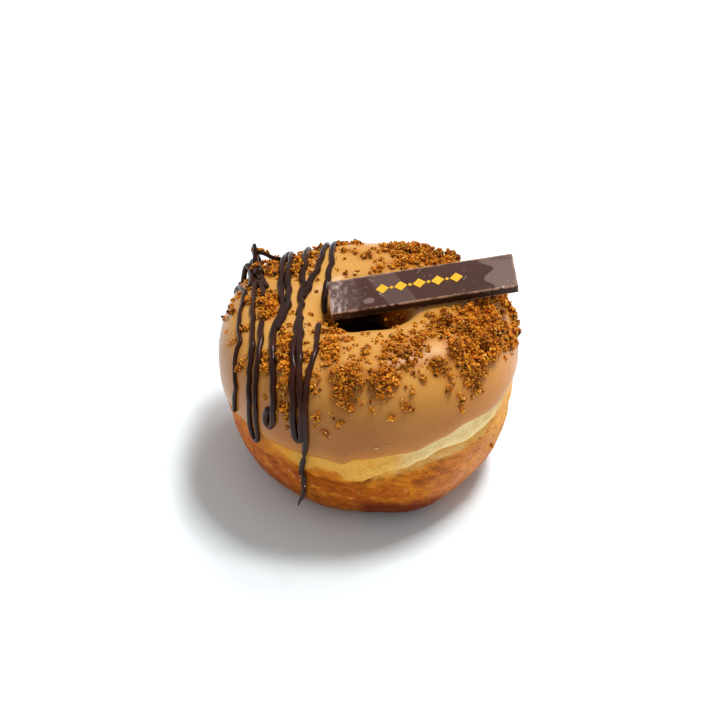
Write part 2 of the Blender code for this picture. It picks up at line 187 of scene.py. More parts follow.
# drifts of finer crumbs: azimuth, section angle, radius, and the kind: 2 for a
# heap, 1 for a layer, 0 for a sprinkle
DRIFTS = (
    (353.5, 74, 2.9, 2), (358.5, 62, 2.9, 2), (356.5, 52, 2.3, 2), (346.5, 79, 1.9, 1),
    (344, 66, 3.2, 2), (346, 55, 3.2, 2), (346, 45, 2.6, 2), (345.5, 35, 2.3, 2),
    (338, 44, 2.6, 2), (335.5, 56, 3.2, 2), (331.5, 65, 3.2, 2), (328, 72, 2.6, 2),
    (319, 66, 2.6, 2), (324, 58, 3.2, 2), (330, 49, 2.6, 2), (313, 63, 1.6, 1),
    (316, 54, 2.6, 2), (322.5, 48, 2.3, 2), (329, 44, 1.6, 1), (340, 36, 1.3, 1),
    (312, 49, 2.3, 2), (316, 44, 2.3, 2), (321, 46, 1.9, 2), (312, 40, 1.9, 1),
    (314, 34, 2.3, 1), (316, 29, 1.3, 1), (320.5, 80, 2.3, 1), (327.5, 92, 2.3, 1),
    (335.5, 88, 2.3, 1), (334.5, 102, 1.6, 1), (344, 96, 1.6, 1), (349, 86, 1.3, 1),
    (336, 82, 1.9, 1), (318, 92, 1.6, 1), (315, 82, 1.6, 1), (323.5, 101, 1.3, 0),
    (305, 87, 1.9, 1), (298.5, 85, 1.6, 1), (302.5, 76, 1.3, 1), (297, 74, 1.6, 1),
    (311.5, 91, 1.3, 1), (304.5, 96, 1, 0), (314.5, 104, 1.3, 0), (292.5, 78, 1.6, 1),
    (293, 66, 1.9, 1), (288.5, 70, 1.6, 1), (285, 66, 1.3, 1), (289, 62, 1.3, 1),
    (289, 94, 1.3, 0), (291, 85, 1.3, 1), (286.5, 78, 1.3, 1), (284, 82, 1.3, 1),
    (282, 86, 1.6, 1), (281.5, 92, 1.3, 0), (278.5, 74, 1.6, 1), (282, 70, 1.6, 1),
    (276.5, 66, 1.6, 1), (279.5, 62, 1.9, 1), (275, 59, 1.9, 2), (276.5, 52, 1.9, 2),
    (272.5, 52, 1.9, 2), (273.5, 48, 1.6, 2), (271.5, 56, 1.6, 1), (282, 59, 1.3, 1),
    (269.5, 63, 1.3, 0), (271.5, 43, 1.3, 0), (274.5, 42, 1.3, 1), (271, 34, 1, 1),
    (301, 60, 1.9, 2), (303.5, 55, 1.9, 2), (305, 50, 1.3, 1), (300.5, 54, 1.6, 1),
    (299.5, 62, 1.3, 1), (305.5, 60, 1.3, 1), (290, 58, 1, 1), (297, 58, 0.6, 0),
    (292.5, 52, 1, 1), (292.5, 56, 0.6, 0), (286.5, 46, 1.3, 1), (285, 49, 0.6, 0),
    (282, 38, 1, 0), (284.5, 35, 1.1, 1), (286, 33, 0.6, 0), (277.5, 29, 1, 1),
    (304, 42, 1, 0), (306.5, 31, 1, 0), (307, 28, 1, 1), (305.5, 23, 1, 0),
    (306.5, 20, 0.6, 1), (311.5, 26, 0.6, 0), (313.5, 28, 0.6, 0), (260, 56, 2.9, 2),
    (256.5, 58, 2.3, 2), (256, 52, 2.3, 2), (260.5, 48, 2.6, 2), (263, 58, 1.9, 2),
    (263.5, 50, 1.9, 1), (265, 62, 1.6, 1), (259.5, 66, 1.6, 1), (259, 43, 1.9, 1),
    (263, 41, 1.6, 1), (262.5, 36, 1.3, 1), (257, 44, 1.6, 1), (266.5, 40, 1.3, 0),
    (264, 69, 1, 0), (260.5, 72, 1, 0), (267, 106, 1.3, 1), (252.5, 98, 1.3, 1),
    (258, 88, 1, 0), (267.5, 82, 1.6, 1), (261, 76, 0.8, 1), (264.5, 71, 1, 0),
    (273.5, 74, 1, 0), (233, 106, 2.6, 1), (243.5, 90, 2.3, 1), (249, 84, 1.6, 1),
    (246.5, 76, 2.3, 1), (240, 84, 1.6, 1), (252, 74, 1.3, 1), (299, 112, 1, 0),
    (31.5, 147, 1, 0), (54.5, 162, 0.6, 0), (294.5, 97, 1, 1), (295.5, 94, 1, 0),
    (41, 154, 0.6, 0), (21, 141, 1, 1), (32.5, 146, 0.6, 1), (358.5, 119, 1, 0),
    (353, 113, 0.6, 0), (328.5, 39, 0.6, 0), (336, 31, 0.6, 0), (77.5, 47, 1.6, 1),
    (71, 58, 1.6, 2), (64.5, 62, 1.9, 2), (58.5, 62, 1.9, 2), (51, 66, 1.9, 2),
    (46, 68, 1.3, 1), (70, 76, 1.6, 1), (61.5, 82, 1.9, 2), (55, 80, 1.6, 1), (68, 91, 1.3, 1),
    (60, 96, 1.3, 1), (71, 97, 1, 1), (82, 64, 1.3, 1), (83, 76, 1, 1), (78.5, 72, 1.3, 1),
    (46.5, 54, 1.3, 1), (50, 74, 1.6, 1), (90.5, 84, 1.6, 2), (86.5, 69, 1, 1),
    (103, 41, 1.3, 1), (98, 46, 1.3, 1), (95, 44, 1, 1), (108.5, 62, 1.3, 1),
    (103.5, 68, 1, 1), (98, 76, 1, 1), (106.5, 84, 0.6, 0), (111.5, 77, 0.6, 0),
    (85, 93, 1, 0), (80.5, 89, 1, 1), (81.5, 106, 1, 1), (87, 103, 0.6, 0),
    (88.5, 111, 0.6, 1), (101.5, 107, 0.8, 1), (110.5, 108, 0.8, 1), (116.5, 98, 0.6, 0),
    (140.5, 40, 1.6, 2), (139, 46, 1.9, 2), (148.5, 54, 1.9, 2), (145, 56, 1.6, 1),
    (144, 41, 1, 1), (154, 34, 1.3, 1), (154, 41, 1, 1), (161.5, 40, 1.6, 1),
    (161, 46, 1.3, 1), (165, 36, 1.3, 1), (169.5, 34, 1, 1), (176, 30, 1, 1),
    (173, 53, 1.6, 2), (167, 64, 1.6, 2), (167, 71, 1.9, 2), (172.5, 80, 1.6, 2),
    (178, 68, 1.6, 2), (182.5, 77, 1.9, 2), (190, 70, 1.9, 2), (189.5, 79, 1, 1),
    (192, 88, 1, 0), (194, 52, 1.6, 1), (194, 56, 1.3, 1), (197, 40, 0.8, 1),
    (195.5, 34, 0.6, 0), (187, 33, 0.5, 0), (210, 34, 1.6, 1), (214.5, 34, 1.3, 1),
    (210.5, 41, 1, 0), (209.5, 28, 1, 1), (216.5, 54, 1, 1), (220, 50, 1.3, 1),
    (224.5, 45, 1.3, 1), (223.5, 42, 1, 1), (135.5, 61, 1.6, 2), (130, 58, 1.9, 2),
    (135.5, 74, 1.6, 2), (142.5, 73, 1.6, 1), (145.5, 83, 1.3, 1), (121, 39, 1.3, 1),
    (115.5, 39, 1.3, 1), (121, 64, 1.6, 2), (128.5, 78, 1.3, 1), (123.5, 77, 1.3, 1),
    (134.5, 88, 1, 1), (115.5, 54, 1.3, 1), (138.5, 102, 0.6, 1), (150, 110, 0.6, 1),
    (191.5, 92, 1.3, 1), (205, 83, 1.3, 1), (216, 77, 1.9, 2), (220, 69, 1.9, 2),
    (225, 68, 1.6, 2), (226, 60, 1.6, 1), (231, 57, 1.6, 1), (233.5, 48, 1.3, 1),
    (235, 41, 1.3, 1), (237, 42, 1, 1), (235.5, 30, 1, 0), (238.5, 25, 1.3, 1),
    (240.5, 22, 1, 1), (239, 17, 1, 1), (241, 14, 0.6, 1), (235.5, 20, 1, 0),
    (194.5, 110, 1, 1), (213, 99, 1, 1), (223.5, 94, 1, 1), (231, 78, 1.3, 1),
    (236.5, 72, 1.6, 1), (236, 65, 1.3, 1), (239, 58, 1.3, 1), (240, 64, 1, 0),
    (241, 52, 1, 1), (243, 46, 1, 0), (203, 122, 1.3, 1), (167.5, 142, 1.3, 1),
    (232.5, 100, 1.6, 1), (151.5, 155, 1, 1), (236.5, 117, 0.6, 0), (241, 92, 1.6, 1),
    (239.5, 85, 1.3, 0), (246, 74, 1.6, 1), (248, 81, 1.3, 1), (245.5, 58, 1, 0),
    (247.5, 52, 1.3, 1), (247.5, 46, 1, 1), (249, 42, 1, 0), (246.5, 48, 1, 0),
    (249.5, 46, 1, 0), (250, 27, 1, 1), (251, 22, 1, 1), (250, 18, 0.6, 0),
    (253.5, 13, 1.3, 1), (254.5, 11, 0.6, 0), (256, 30, 0.6, 0), (256.5, 26, 0.6, 0),
    (259, 24, 1, 1), (258, 20, 0.6, 1), (260.5, 26, 0.6, 0), (227.5, 25, 0.6, 1),
    (230, 10, 0.5, 0),
    (16, 43.5, 1.6, 1), (12.5, 39.5, 1.9, 2), (8, 37, 1.9, 2), (4.5, 33.5, 1.9, 2),
    (359.5, 32, 1.9, 2), (354.5, 30.5, 1.9, 2), (350, 28.5, 1.6, 1), (344, 30.5, 1.6, 1),
    (7, 46.5, 2.3, 2), (7, 56, 2.3, 2), (4.5, 63.5, 1.9, 2), (82.5, 55.5, 1.6, 1),
    (78, 50, 1.6, 1), (72.5, 50, 1.9, 2), (68.5, 50, 1.9, 2), (63, 52, 1.9, 2),
    (57.5, 56, 1.9, 2), (51.5, 59.5, 1.9, 2), (46, 60, 1.9, 2), (48, 48, 1.6, 2),
    (41.5, 63, 1.6, 1), (44.5, 70.5, 1.9, 2), (51.5, 71.5, 1.9, 2), (59, 69.5, 1.9, 2),
    (66.5, 65.5, 1.9, 2), (72.5, 64, 1.6, 1), (73.5, 76, 1.6, 1), (65, 82.5, 1.9, 2),
    (56.5, 85, 1.9, 1), (49, 84, 1.6, 1), (66.5, 90.5, 1.6, 1), (68, 98, 1.3, 1),
    (77.5, 93.5, 1., 0), (80, 103.5, 1.3, 1), (82, 109.5, 1.6, 1), (279.5, 102.5, 1, 1),
    (288.5, 99, .8, 1), (255.5, 98.5, 1, 1), (261, 90, .8, 0), (268.5, 88.5, .8, 1),
    (274.5, 95.5, 1, 1), (243, 107.5, 1.3, 1), (243, 95.5, 1.3, 1), (256, 83, 1, 1),
    (265.5, 76, 1, 1), (269.5, 71, .8, 1), (262, 68.5, 1, 1), (279, 80.5, .8, 1),
    (287, 86.5, 1, 1), (294.5, 92.5, 1, 1), (304, 98.5, 1.3, 1), (296.5, 104.5, 1., 1),
    (290.5, 77, .8, 1), (300, 80.5, 1, 1), (309, 87, 1.3, 1), (247, 80.5, 1, 1),
    (271.5, 62.5, 1, 1), (238.5, 9, .8, 0), (239.5, 17.5, 1.3, 1), (237.5, 25.5, 1., 1),
    (250.5, 28, .8, 1), (251.5, 22, 1, 1), (215.5, 53, 1., 1), (221, 52.5, 1.3, 1),
    (225.5, 44, 1.3, 1), (234.5, 41, 1.6, 2), (234, 48.5, 1.3, 1), (228, 25.5, .6, 0),
    (126, 55, 1.6, 2), (132, 63.5, 1.6, 2), (135, 76.5, 1.3, 1), (141, 77.5, 1.3, 1),
    (120.5, 58.5, 1.3, 1), (126.5, 68, 1.3, 1), (104, 48.5, 1.3, 2), (100.5, 48.5, 1.3, 1),
    (94.5, 55.5, 1.3, 1), (103.5, 68.5, 1.3, 1), (97.5, 69.5, 1.3, 1), (135, 43, 1.6, 2),
    (143.5, 54.5, 1.6, 1), (149.5, 66.5, 1.3, 1), (167, 67, 1.6, 2), (174.5, 74.5, 1.9, 2),
    (183, 73, 1.6, 2), (174, 67, 1.6, 1), (192.5, 69.5, 1, 1), (218, 49.5, 1.3, 1),
    (222.5, 44.5, 1.3, 2), (237, 35, 1, 1), (239, 29, 1, 1), (246.5, 78, 1.6, 1),
    (252, 69, 1.3, 1), (247.5, 64.5, 1.3, 1), (221, 67.5, 1.6, 2), (227.5, 62, 1.6, 2),
    (231, 53.5, 1.3, 2))

SEEN_AZ = (190, 352)     # the side that the photograph shows: finer there
SEEN_STEP, HIDDEN_STEP = .42, .9


def srgb(r, g, b):
    """Linear colour from 8-bit screen values."""
    out = []
    for v in (r, g, b):
        v /= 255
        out.append(v / 12.92 if v <= .04045 else ((v + .055) / 1.055) ** 2.4)
    return np.array(out)


# surface formulas

def along(table, az):
    """Columns of a table of stations at azimuths, wrapped round the ring."""
    rows = np.array(table, float)
    stops = np.append(rows[:, 0], rows[0, 0] + 360)
    vals = np.vstack([rows[:, 1:], rows[:1, 1:]])
    az = np.mod(np.asarray(az, float), 360)
    i = np.clip(np.searchsorted(stops, az, side="right") - 1, 0, len(rows) - 1)
    t = (az - stops[i]) / (stops[i + 1] - stops[i])
    t = t * t * (3 - 2 * t)
    return [vals[i, k] + (vals[i + 1, k] - vals[i, k]) * t for k in range(vals.shape[1])]


def inner_end(az):
    """Section angle at which the icing stops inside the hole."""
    return INNER_END + INNER_WAVE * np.sin(np.radians(3 * az))


def bump(x, wide):
    """Bell of height 1 at zero."""
    return np.exp(-(x / wide) ** 2)


def swell(spec, az):
    """Swell or dent of the ring at azimuths."""
    middle, wide, size = spec
    return size * bump(np.mod(az, 360) - middle, wide)


def section(az, ang):
    """Distance of the dough's surface from the centre of its section."""
    az, ang = np.broadcast_arrays(np.asarray(az, float), np.asarray(ang, float))
    a, t = np.radians(az), np.radians(ang)
    c, s = np.cos(t), np.sin(t)
    side = np.where(s > 0, swell(SHOULDER, az),
                    swell(BELLY, az) + swell(TUCK, az) + s * s * swell(FOOT, az))
    out = RING_R - SECTION_R + np.abs(s) * side
    hole = HOLE_R + swell(HOLE_FRONT, az) + sum(
        size * np.cos((k + 1) * a) for k, size in enumerate(HOLE_WAVES))
    wide = np.where(c > 0, out, SECTION_R - hole)
    crest = (CREST_UP + CREST_TILT[0] * np.cos(a) + CREST_TILT[1] * np.sin(a)
             + swell(CREST_FRONT, az))
    high = np.where(s > 0, crest, WAIST_Z + BASE_CUT)
    power = np.where(s > 0, np.where(c > 0, POW_OUT_UP, POW_IN_UP),
                     np.where(c > 0, POW_OUT_LOW, POW_IN_LOW))
    rho = ((np.abs(c) / wide) ** power + (np.abs(s) / high) ** power) ** (-1 / power)
    rho = rho + (LUMP * np.sin(3 * a + 2 * t) * np.sin(5 * a - t + 1)
                 * np.minimum(1, np.abs(c) * 2))
    mid, deep = along(CREASE, az)
    off = np.radians(ang - mid) * rho
    crease = (deep * LIP_HIGH * bump(off - 1.9 * CREASE_WIDE, 1.4 * CREASE_WIDE)
              - deep * bump(off, CREASE_WIDE))
    rho = rho + np.where(c > 0, crease, 0)
    flat = WAIST_Z / np.maximum(-s, 1e-6)
    return np.where(s < -1e-6, np.minimum(rho, flat), rho)


def place(az, ang, off=0.0):
    """Points at stations, off millimetres clear of the dough."""
    a, t = np.radians(az), np.radians(ang)
    rho = section(az, ang) + off
    r = SECTION_R + rho * np.cos(t)
    return np.stack([r * np.cos(a), r * np.sin(a), WAIST_Z + rho * np.sin(t)], -1)


def outward(points):
    """Unit directions away from the circle through the section centres."""
    flat = np.linalg.norm(points[..., :2], axis=-1, keepdims=True)
    middle = np.concatenate([points[..., :2] / flat * SECTION_R,
                             np.full_like(flat, WAIST_Z)], -1)
    d = points - middle
    return d / np.linalg.norm(d, axis=-1, keepdims=True)


def lattice(points, seed):
    """Smooth value noise from -1 to 1 on a unit lattice."""
    i = np.floor(points).astype(np.int64)
    f = points - i
    u = f * f * (3 - 2 * f)
    total = np.zeros(points.shape[:-1])
    for corner in range(8):
        d = np.array([corner & 1, corner >> 1 & 1, corner >> 2 & 1])
        k = i + d
        h = (k[..., 0] * 374761393 + k[..., 1] * 668265263 + k[..., 2] * 1440662683
             + seed * 974711) & 0xffffffff
        h = ((h ^ (h >> 13)) * 1274126177) & 0xffffffff
        h = (h ^ (h >> 16)) / 0xffffffff
        w = np.prod(np.where(d, u, 1 - u), -1)
        total += w * h
    return total * 2 - 1


def clouds(points, size, seed, octaves=3):
    """Layered noise with features about size millimetres across."""
    total, amp, norm = 0, 1, 0
    for k in range(octaves):
        total = total + amp * lattice(points / size * 2 ** k + 17.3 * k, seed + k)
        norm += amp
        amp *= .5
    return total / norm


def smooth_path(points, step):
    """Points along a Catmull-Rom curve, about step apart."""
    out = []
    for i in range(len(points) - 1):
        p0, p1 = points[max(0, i - 1)], points[i]
        p2, p3 = points[i + 1], points[min(len(points) - 1, i + 2)]
        n = max(1, round(float(np.linalg.norm(p2 - p1)) / step))
        for k in range(n):
            t = k / n
            out.append(.5 * (2 * p1 + (p2 - p0) * t + (2 * p0 - 5 * p1 + 4 * p2 - p3) * t ** 2
                             + (3 * p1 - p0 - 3 * p2 + p3) * t ** 3))
    return np.array(out + [points[-1]])


# mesh helpers

def make_piece(name, verts, faces, node, tint, material, smooth=True):
    """A mesh piece in the part's frame that rides with it and stands for a node."""
    mesh = bpy.data.meshes.new(name)
    mesh.from_pydata(((verts + SHIFT) * MM).tolist(), [], faces.tolist())
    layer = mesh.attributes.new("Tint", "FLOAT_COLOR", "POINT")
    rgba = np.ones((len(verts), 4))
    rgba[:, :3] = tint
    layer.data.foreach_set("color", rgba.ravel())
    if smooth:
        mesh.shade_smooth()
    mesh.update()
    mesh.materials.append(material)
    obj = bpy.data.objects.new(name, mesh)
    bpy.context.scene.collection.objects.link(obj)
    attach(obj, "root")
    if node:
        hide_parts(node)
    return obj


def grid_faces(n, m):
    """Quads of an n by m grid, wrapped both ways."""
    i = np.arange(n)[:, None]
    j = np.arange(m)[None, :]
    a = i * m + j
    b = i * m + (j + 1) % m
    c = ((i + 1) % n) * m + (j + 1) % m
    d = ((i + 1) % n) * m + j
    return np.stack([a, d, c, b], -1).reshape(-1, 4)


def mix(a, b, t):
    """Blend of two colours or fields of colours by a field from 0 to 1."""
    t = np.clip(t, 0, 1)[..., None]
    return a * (1 - t) + b * t


def layers(base, *coats):
    """Coats laid over a base in turn: a colour or a darkening, and its share."""
    for coat, share in coats:
        base = mix(base, base * coat if np.isscalar(coat) else coat, share)
    return base


def step(x, low, high):
    """Smooth rise from 0 at low to 1 at high."""
    t = np.clip((x - low) / (high - low), 0, 1)
    return t * t * (3 - 2 * t)


# materials

def new_material(name, rough, spec):
    """Material with one shader: itself, its node tree and the shader."""
    mat = bpy.data.materials.new(name)
    mat.use_nodes = True
    shader = mat.node_tree.nodes["Principled BSDF"]
    shader.inputs["Roughness"].default_value = rough
    shader.inputs["Specular IOR Level"].default_value = spec
    return mat, mat.node_tree, shader


def noise_node(tree, scale, detail, rough):
    """Noise on the object's own coordinates, in waves for each metre."""
    coord = tree.nodes.new("ShaderNodeTexCoord")
    node = tree.nodes.new("ShaderNodeTexNoise")
    node.inputs["Scale"].default_value = scale
    node.inputs["Detail"].default_value = detail
    node.inputs["Roughness"].default_value = rough
    tree.links.new(coord.outputs["Object"], node.inputs["Vector"])
    return node.outputs["Fac"]


def remap(tree, value, low, high, to_low, to_high):
    """Value carried from one range to another."""
    node = tree.nodes.new("ShaderNodeMapRange")
    for key, v in zip(("From Min", "From Max", "To Min", "To Max"),
                      (low, high, to_low, to_high)):
        node.inputs[key].default_value = v
    tree.links.new(value, node.inputs["Value"])
    return node.outputs["Result"]


def add_bump(tree, shader, height, strength, distance, chain=None):
    """Fine relief on the shader, on top of the relief in chain."""
    node = tree.nodes.new("ShaderNodeBump")
    node.inputs["Strength"].default_value = strength
    node.inputs["Distance"].default_value = distance
    tree.links.new(height, node.inputs["Height"])
    if chain is not None:
        tree.links.new(chain, node.inputs["Normal"])
    tree.links.new(node.outputs["Normal"], shader.inputs["Normal"])
    return node.outputs["Normal"]


def tinted(tree, shader, factor):
    """Base colour from the mesh's own tint, varied by a fine field."""
    tint = tree.nodes.new("ShaderNodeAttribute")
    tint.attribute_name = "Tint"
    scale = tree.nodes.new("ShaderNodeVectorMath")
    scale.operation = "SCALE"
    tree.links.new(tint.outputs["Color"], scale.inputs[0])
    tree.links.new(factor, scale.inputs["Scale"])
    tree.links.new(scale.outputs["Vector"], shader.inputs["Base Color"])


def soften(shader, weight, scale, radius):
    """Light that spreads under the surface."""
    shader.inputs["Subsurface Weight"].default_value = weight
    shader.inputs["Subsurface Scale"].default_value = scale
    shader.inputs["Subsurface Radius"].default_value = radius


# specular level; noises (waves for each metre, detail, roughness); tone and
# roughness, each a noise's place in the list and its range from low to high;
# bumps (noise, strength, metres); light under the surface (weight, metres, radii)
FOODS = {
    "fried_dough": (.1, ((1600, 5, .7), (420, 5, .65)), (0, .3, .7, .8, 1.2),
                    (0, .3, .7, .46, .7), ((1, .5, .0006), (0, .45, .00022)),
                    (.06, .003, (1, .45, .2))),
    "caramel_icing": (.32, ((2600, 3, .7), (120, 3, .5)), (0, .3, .7, .94, 1.06),
                      (1, .3, .7, .24, .33), ((1, .16, .0008), (0, .16, .00006)),
                      (.15, .003, (1, .6, .35))),
    "biscuit_crumb": (.2, ((4200, 3, .75),), (0, .34, .66, .65, 1.35),
                      (0, .35, .65, .3, .62), ((0, .8, .0002),),
                      (.3, .001, (1, .6, .2))),
    "chocolate_drizzle": (.1, ((220, 3, .5),), (0, .3, .7, .8, 1.2),
                          (0, .3, .7, .14, .28), ((0, .3, .0004),), None),
    "dark_chocolate": (.35, ((1800, 3, .65),), (0, .3, .7, .88, 1.12), None,
                       ((0, .15, .0001),), None),
    "yellow_print": (.4, ((1600, 3, .7),), (0, .3, .7, .85, 1.1), None,
                     ((0, .2, .00008),), None)}
PLAIN_ROUGH = .5              # where no field sets it
DRIZZLE_COAT = (.25, .09)     # weight, roughness


def food_material(name):
    """Material of a food, tinted by its mesh."""
    spec, noises, tone, rough, bumps, glow = FOODS[name]
    mat, tree, shader = new_material(name, PLAIN_ROUGH, spec)
    fields = [noise_node(tree, *noise) for noise in noises]
    tinted(tree, shader, remap(tree, fields[tone[0]], *tone[1:]))
    if rough:
        dull = remap(tree, fields[rough[0]], *rough[1:])
        tree.links.new(dull, shader.inputs["Roughness"])
    relief = None
    for field, strength, distance in bumps:
        relief = add_bump(tree, shader, fields[field], strength, distance, relief)
    if glow:
        soften(shader, *glow)
    return mat, tree, shader


def drizzle_material():
    """Chocolate with a thin clear coat."""
    mat, _, shader = food_material("chocolate_drizzle")
    for key, value in zip(("Coat Weight", "Coat Roughness"), DRIZZLE_COAT):
        shader.inputs[key].default_value = value
    return mat


def bar_material():
    """Chocolate whose dullness is a field of the mesh."""
    mat, tree, shader = food_material("dark_chocolate")
    dull = tree.nodes.new("ShaderNodeAttribute")
    dull.attribute_name = "Dull"
    tree.links.new(dull.outputs["Fac"], shader.inputs["Roughness"])
    return mat


# dough

DOUGH_ROWS = 116
ICING_OVER = 2                # degrees of full relief under the icing's edge
SIDE_END = -79                # section angle where the outer side meets the foot
FOOT_FROM, FOOT_TO = -84, -100
WALL_FROM = -103              # where the wall of the hole starts
COVERED_ROWS, FOOT_ROWS, WALL_ROWS = 9, 4, 23
GRAIN_AXES = np.array(((.8, .1, .6), (-.5, .8, .3), (-.9, 0, 1.9)))
WRINKLE_AXES = np.array((1, 1, 1.7))
# azimuths over which the colours of the seen side change
BACK_FROM = (343, 359.5)      # fade to the back's
LEFT_TO = (222, 246)
RIGHT_FROM = (286, 312)
FAR_RIGHT_FROM = (316, 330)
TAN_TO = 282                  # the pale band is tan up to here, then cream
GOLD_TO = 240                 # and golden up to here
FOOT_SHADE = (262, 270, 296, 306)   # azimuths where painted shade on the undercut foot deepens, and fades again
PALE_CREAM = srgb(255, 224, 160)
GROOVE_YELLOW = srgb(228, 164, 48)
TAN_GOLD = srgb(244, 184, 84)
GOLD = srgb(236, 148, 28)
CRUST = srgb(186, 90, 4)
CRUST_PINK = srgb(226, 144, 84)
CRUST_LEFT = srgb(196, 98, 34)
CRUST_RIGHT = srgb(255, 182, 88)
# painted shade: in the wrinkles, under the folds and on the undercut foot
CRUST_SHADE = srgb(104, 34, 4)
FLAKE = srgb(236, 178, 118)
# painted highlight on the big fold's lip
LIP_HIGHLIGHT = srgb(255, 240, 200)
# painted shade in the hole: brown on the side toward the lamps, dark elsewhere
HOLE_BROWN = srgb(150, 84, 20)
HOLE_SHADE = srgb(36, 12, 4)


def fine_azimuths():
    """Azimuths round the ring, closer together where the photograph looks."""
    start, end = SEEN_AZ
    seen = np.arange(start, end, SEEN_STEP)
    return np.concatenate([seen, np.arange(end, start + 360, HIDDEN_STEP)])[:, None]


def dough_angles(az, edge):
    """Section angles: under the icing, down the side, over the foot, up the hole."""
    end = inner_end(az)
    top = edge + ICING_OVER
    covered = end + (top - end) * np.linspace(0, 1, COVERED_ROWS)[None, :-1]
    bare = top + (SIDE_END - top) * np.linspace(0, 1, DOUGH_ROWS)[None, :]
    foot = np.broadcast_to(np.linspace(FOOT_FROM, FOOT_TO, FOOT_ROWS)[None, :],
                           (len(az), FOOT_ROWS))
    wall = WALL_FROM + (end - 360 - WALL_FROM) * np.linspace(0, 1, WALL_ROWS)[None, :-1]
    return np.concatenate([covered, bare, foot, wall], 1)


def fold_relief(table, az, ang, rho, wobble):
    """Height of a fold of skin, a lip that stands over a cut, and how far up."""
    mid, lip, cut = along(table, az)
    off = np.radians(ang - mid) * rho + wobble
    edge = np.tanh(off / .16)
    relief = .5 * lip * edge * np.exp(-np.abs(off) / 1.3) - cut * bump(off + .25, .42)
    return relief, off, lip, cut


def blisters(pts):
    """Height of the small blisters on the crust, from 0 to 1."""
    high = np.zeros(pts.shape[:-1])
    for az, ang, size in BLISTERS:
        d = np.linalg.norm(pts - place(az, ang), axis=-1) / size
        high = np.maximum(high, np.clip(1 - d * d, 0, 1) ** .5)
    return high


def skin_fields(az, ang, rho, pts):
    """Folds, flecks, wrinkles and blisters, which relief and colours share."""
    wander = .35 * clouds(pts, 4, 21, 3)
    fold, off, lip, cut = fold_relief(PROOF_FOLD, az, ang, rho, wander)
    small, small_off, small_lip, _ = fold_relief(SMALL_FOLD, az, ang, rho, wander)
    grain = pts @ GRAIN_AXES
    return SimpleNamespace(
        folds=fold + small, off=off, lip=lip, cut=cut, small_off=small_off,
        small_lip=small_lip, below=step(-off, -.3, 2.5), grain=grain,
        flecks=clouds(grain, 1.5, 41, 4), blister=blisters(pts),
        wrinkle=np.abs(clouds(grain * WRINKLE_AXES, 3.4, 43, 3)))


def skin_relief(skin, pts):
    """Height of the skin over the smooth dough."""
    return (skin.folds + .27 * clouds(pts, 4.5, 31, 3) * (.4 + skin.below)
            + .13 * skin.flecks * (.35 + .65 * skin.below)
            - .22 * bump(skin.wrinkle, .07) * skin.below + .22 * skin.blister)


def sides(front):
    """Shares of the seen side's parts, which all fade out toward the back."""
    turn = step(front, *BACK_FROM)
    return SimpleNamespace(
        turn=turn, left=np.maximum(1 - step(front, *LEFT_TO), turn),
        right=step(front, *RIGHT_FROM) * (1 - turn),
        far_right=step(front, *FAR_RIGHT_FROM) * (1 - turn),
        tan=np.maximum(step(TAN_TO - front, -3, 6), turn))


def crust_colour(ang, far, pale, patch, side, skin):
    """Browned skin: pinker to the right, golden near the band, mottled, with painted shade in
    the wrinkles.
    """
    mottle = clouds(skin.grain, 3.2, 47, 3)
    return layers(
        CRUST,
        (CRUST_PINK, side.right * (.75 + .5 * patch)),
        (CRUST_LEFT, side.left),
        (CRUST_RIGHT, side.far_right * step(ang, -52, -18)),
        (GOLD, .5 * step(patch, .1, .6) * (1 - .6 * side.left)),
        (GOLD, .7 * step(far, -5, .5) * (.25 + .6 * pale)),
        (.6, step(mottle, .05, .5) * (.7 - .4 * side.right)),
        (GOLD, step(-mottle, .05, .5) * (.45 - .2 * side.right)),
        (.62, step(skin.flecks, .1, .55) * (.55 - .3 * side.right)),
        (FLAKE, step(-skin.flecks, .28, .6) * (.16 + .4 * side.right)),
        (FLAKE, .3 * skin.blister),
        # painted shade in the grooves of the wrinkles
        (CRUST_SHADE, .55 * bump(skin.wrinkle, .05) * skin.below))


def band_colour(front, pts, side, skin):
    """Pale band between icing and crust: tan to the left, cream to the right."""
    under = step(-skin.off, -.1, .4)
    golden = (.45 * step(clouds(pts, 2.6, 65, 3), .05, .5)
              + .5 * np.maximum(step(GOLD_TO - front, -4, 8), side.turn))
    return layers(
        PALE_CREAM,
        (GROOVE_YELLOW, .3 * step(clouds(pts, 4, 63, 3), 0, .7)),
        (GROOVE_YELLOW, .25 * np.maximum(step(TAN_TO - front, -12, 2), side.turn)),
        (TAN_GOLD, side.tan),
        # yellow under the fold's lip, strongest just below it: partly the band's own colour,
        # partly painted shade of the groove
        (GROOVE_YELLOW, under * (1 - side.tan) * (.45 + .55 * step(skin.off, -3.5, -.3))),
        (GOLD, side.tan * golden))


def fold_shade_and_highlight(colour, band, side, skin):
    """Painted shade in the cuts under the folds and a painted highlight on the big one's lip.
    """
    cream = 1 - side.tan
    # painted shade under the folds: dark crust, or darkened yellow in the pale band
    shade = (bump(skin.off + .45, .6 + .35 * side.tan)
             * np.clip(.55 * skin.lip + .9 * skin.cut, 0, 1))
    shade = np.maximum(shade, .5 * bump(skin.small_off + .25, .35)
                       * np.clip(skin.small_lip, 0, 1))
    deep = mix(CRUST_SHADE, GROOVE_YELLOW * .6, band * cream)
    # painted highlight along the big fold's lip
    lip_highlight = bump(skin.off - .2, .22) * np.clip(skin.lip, 0, 1) * cream
    return layers(colour, (deep, .85 * shade), (LIP_HIGHLIGHT, .55 * lip_highlight))


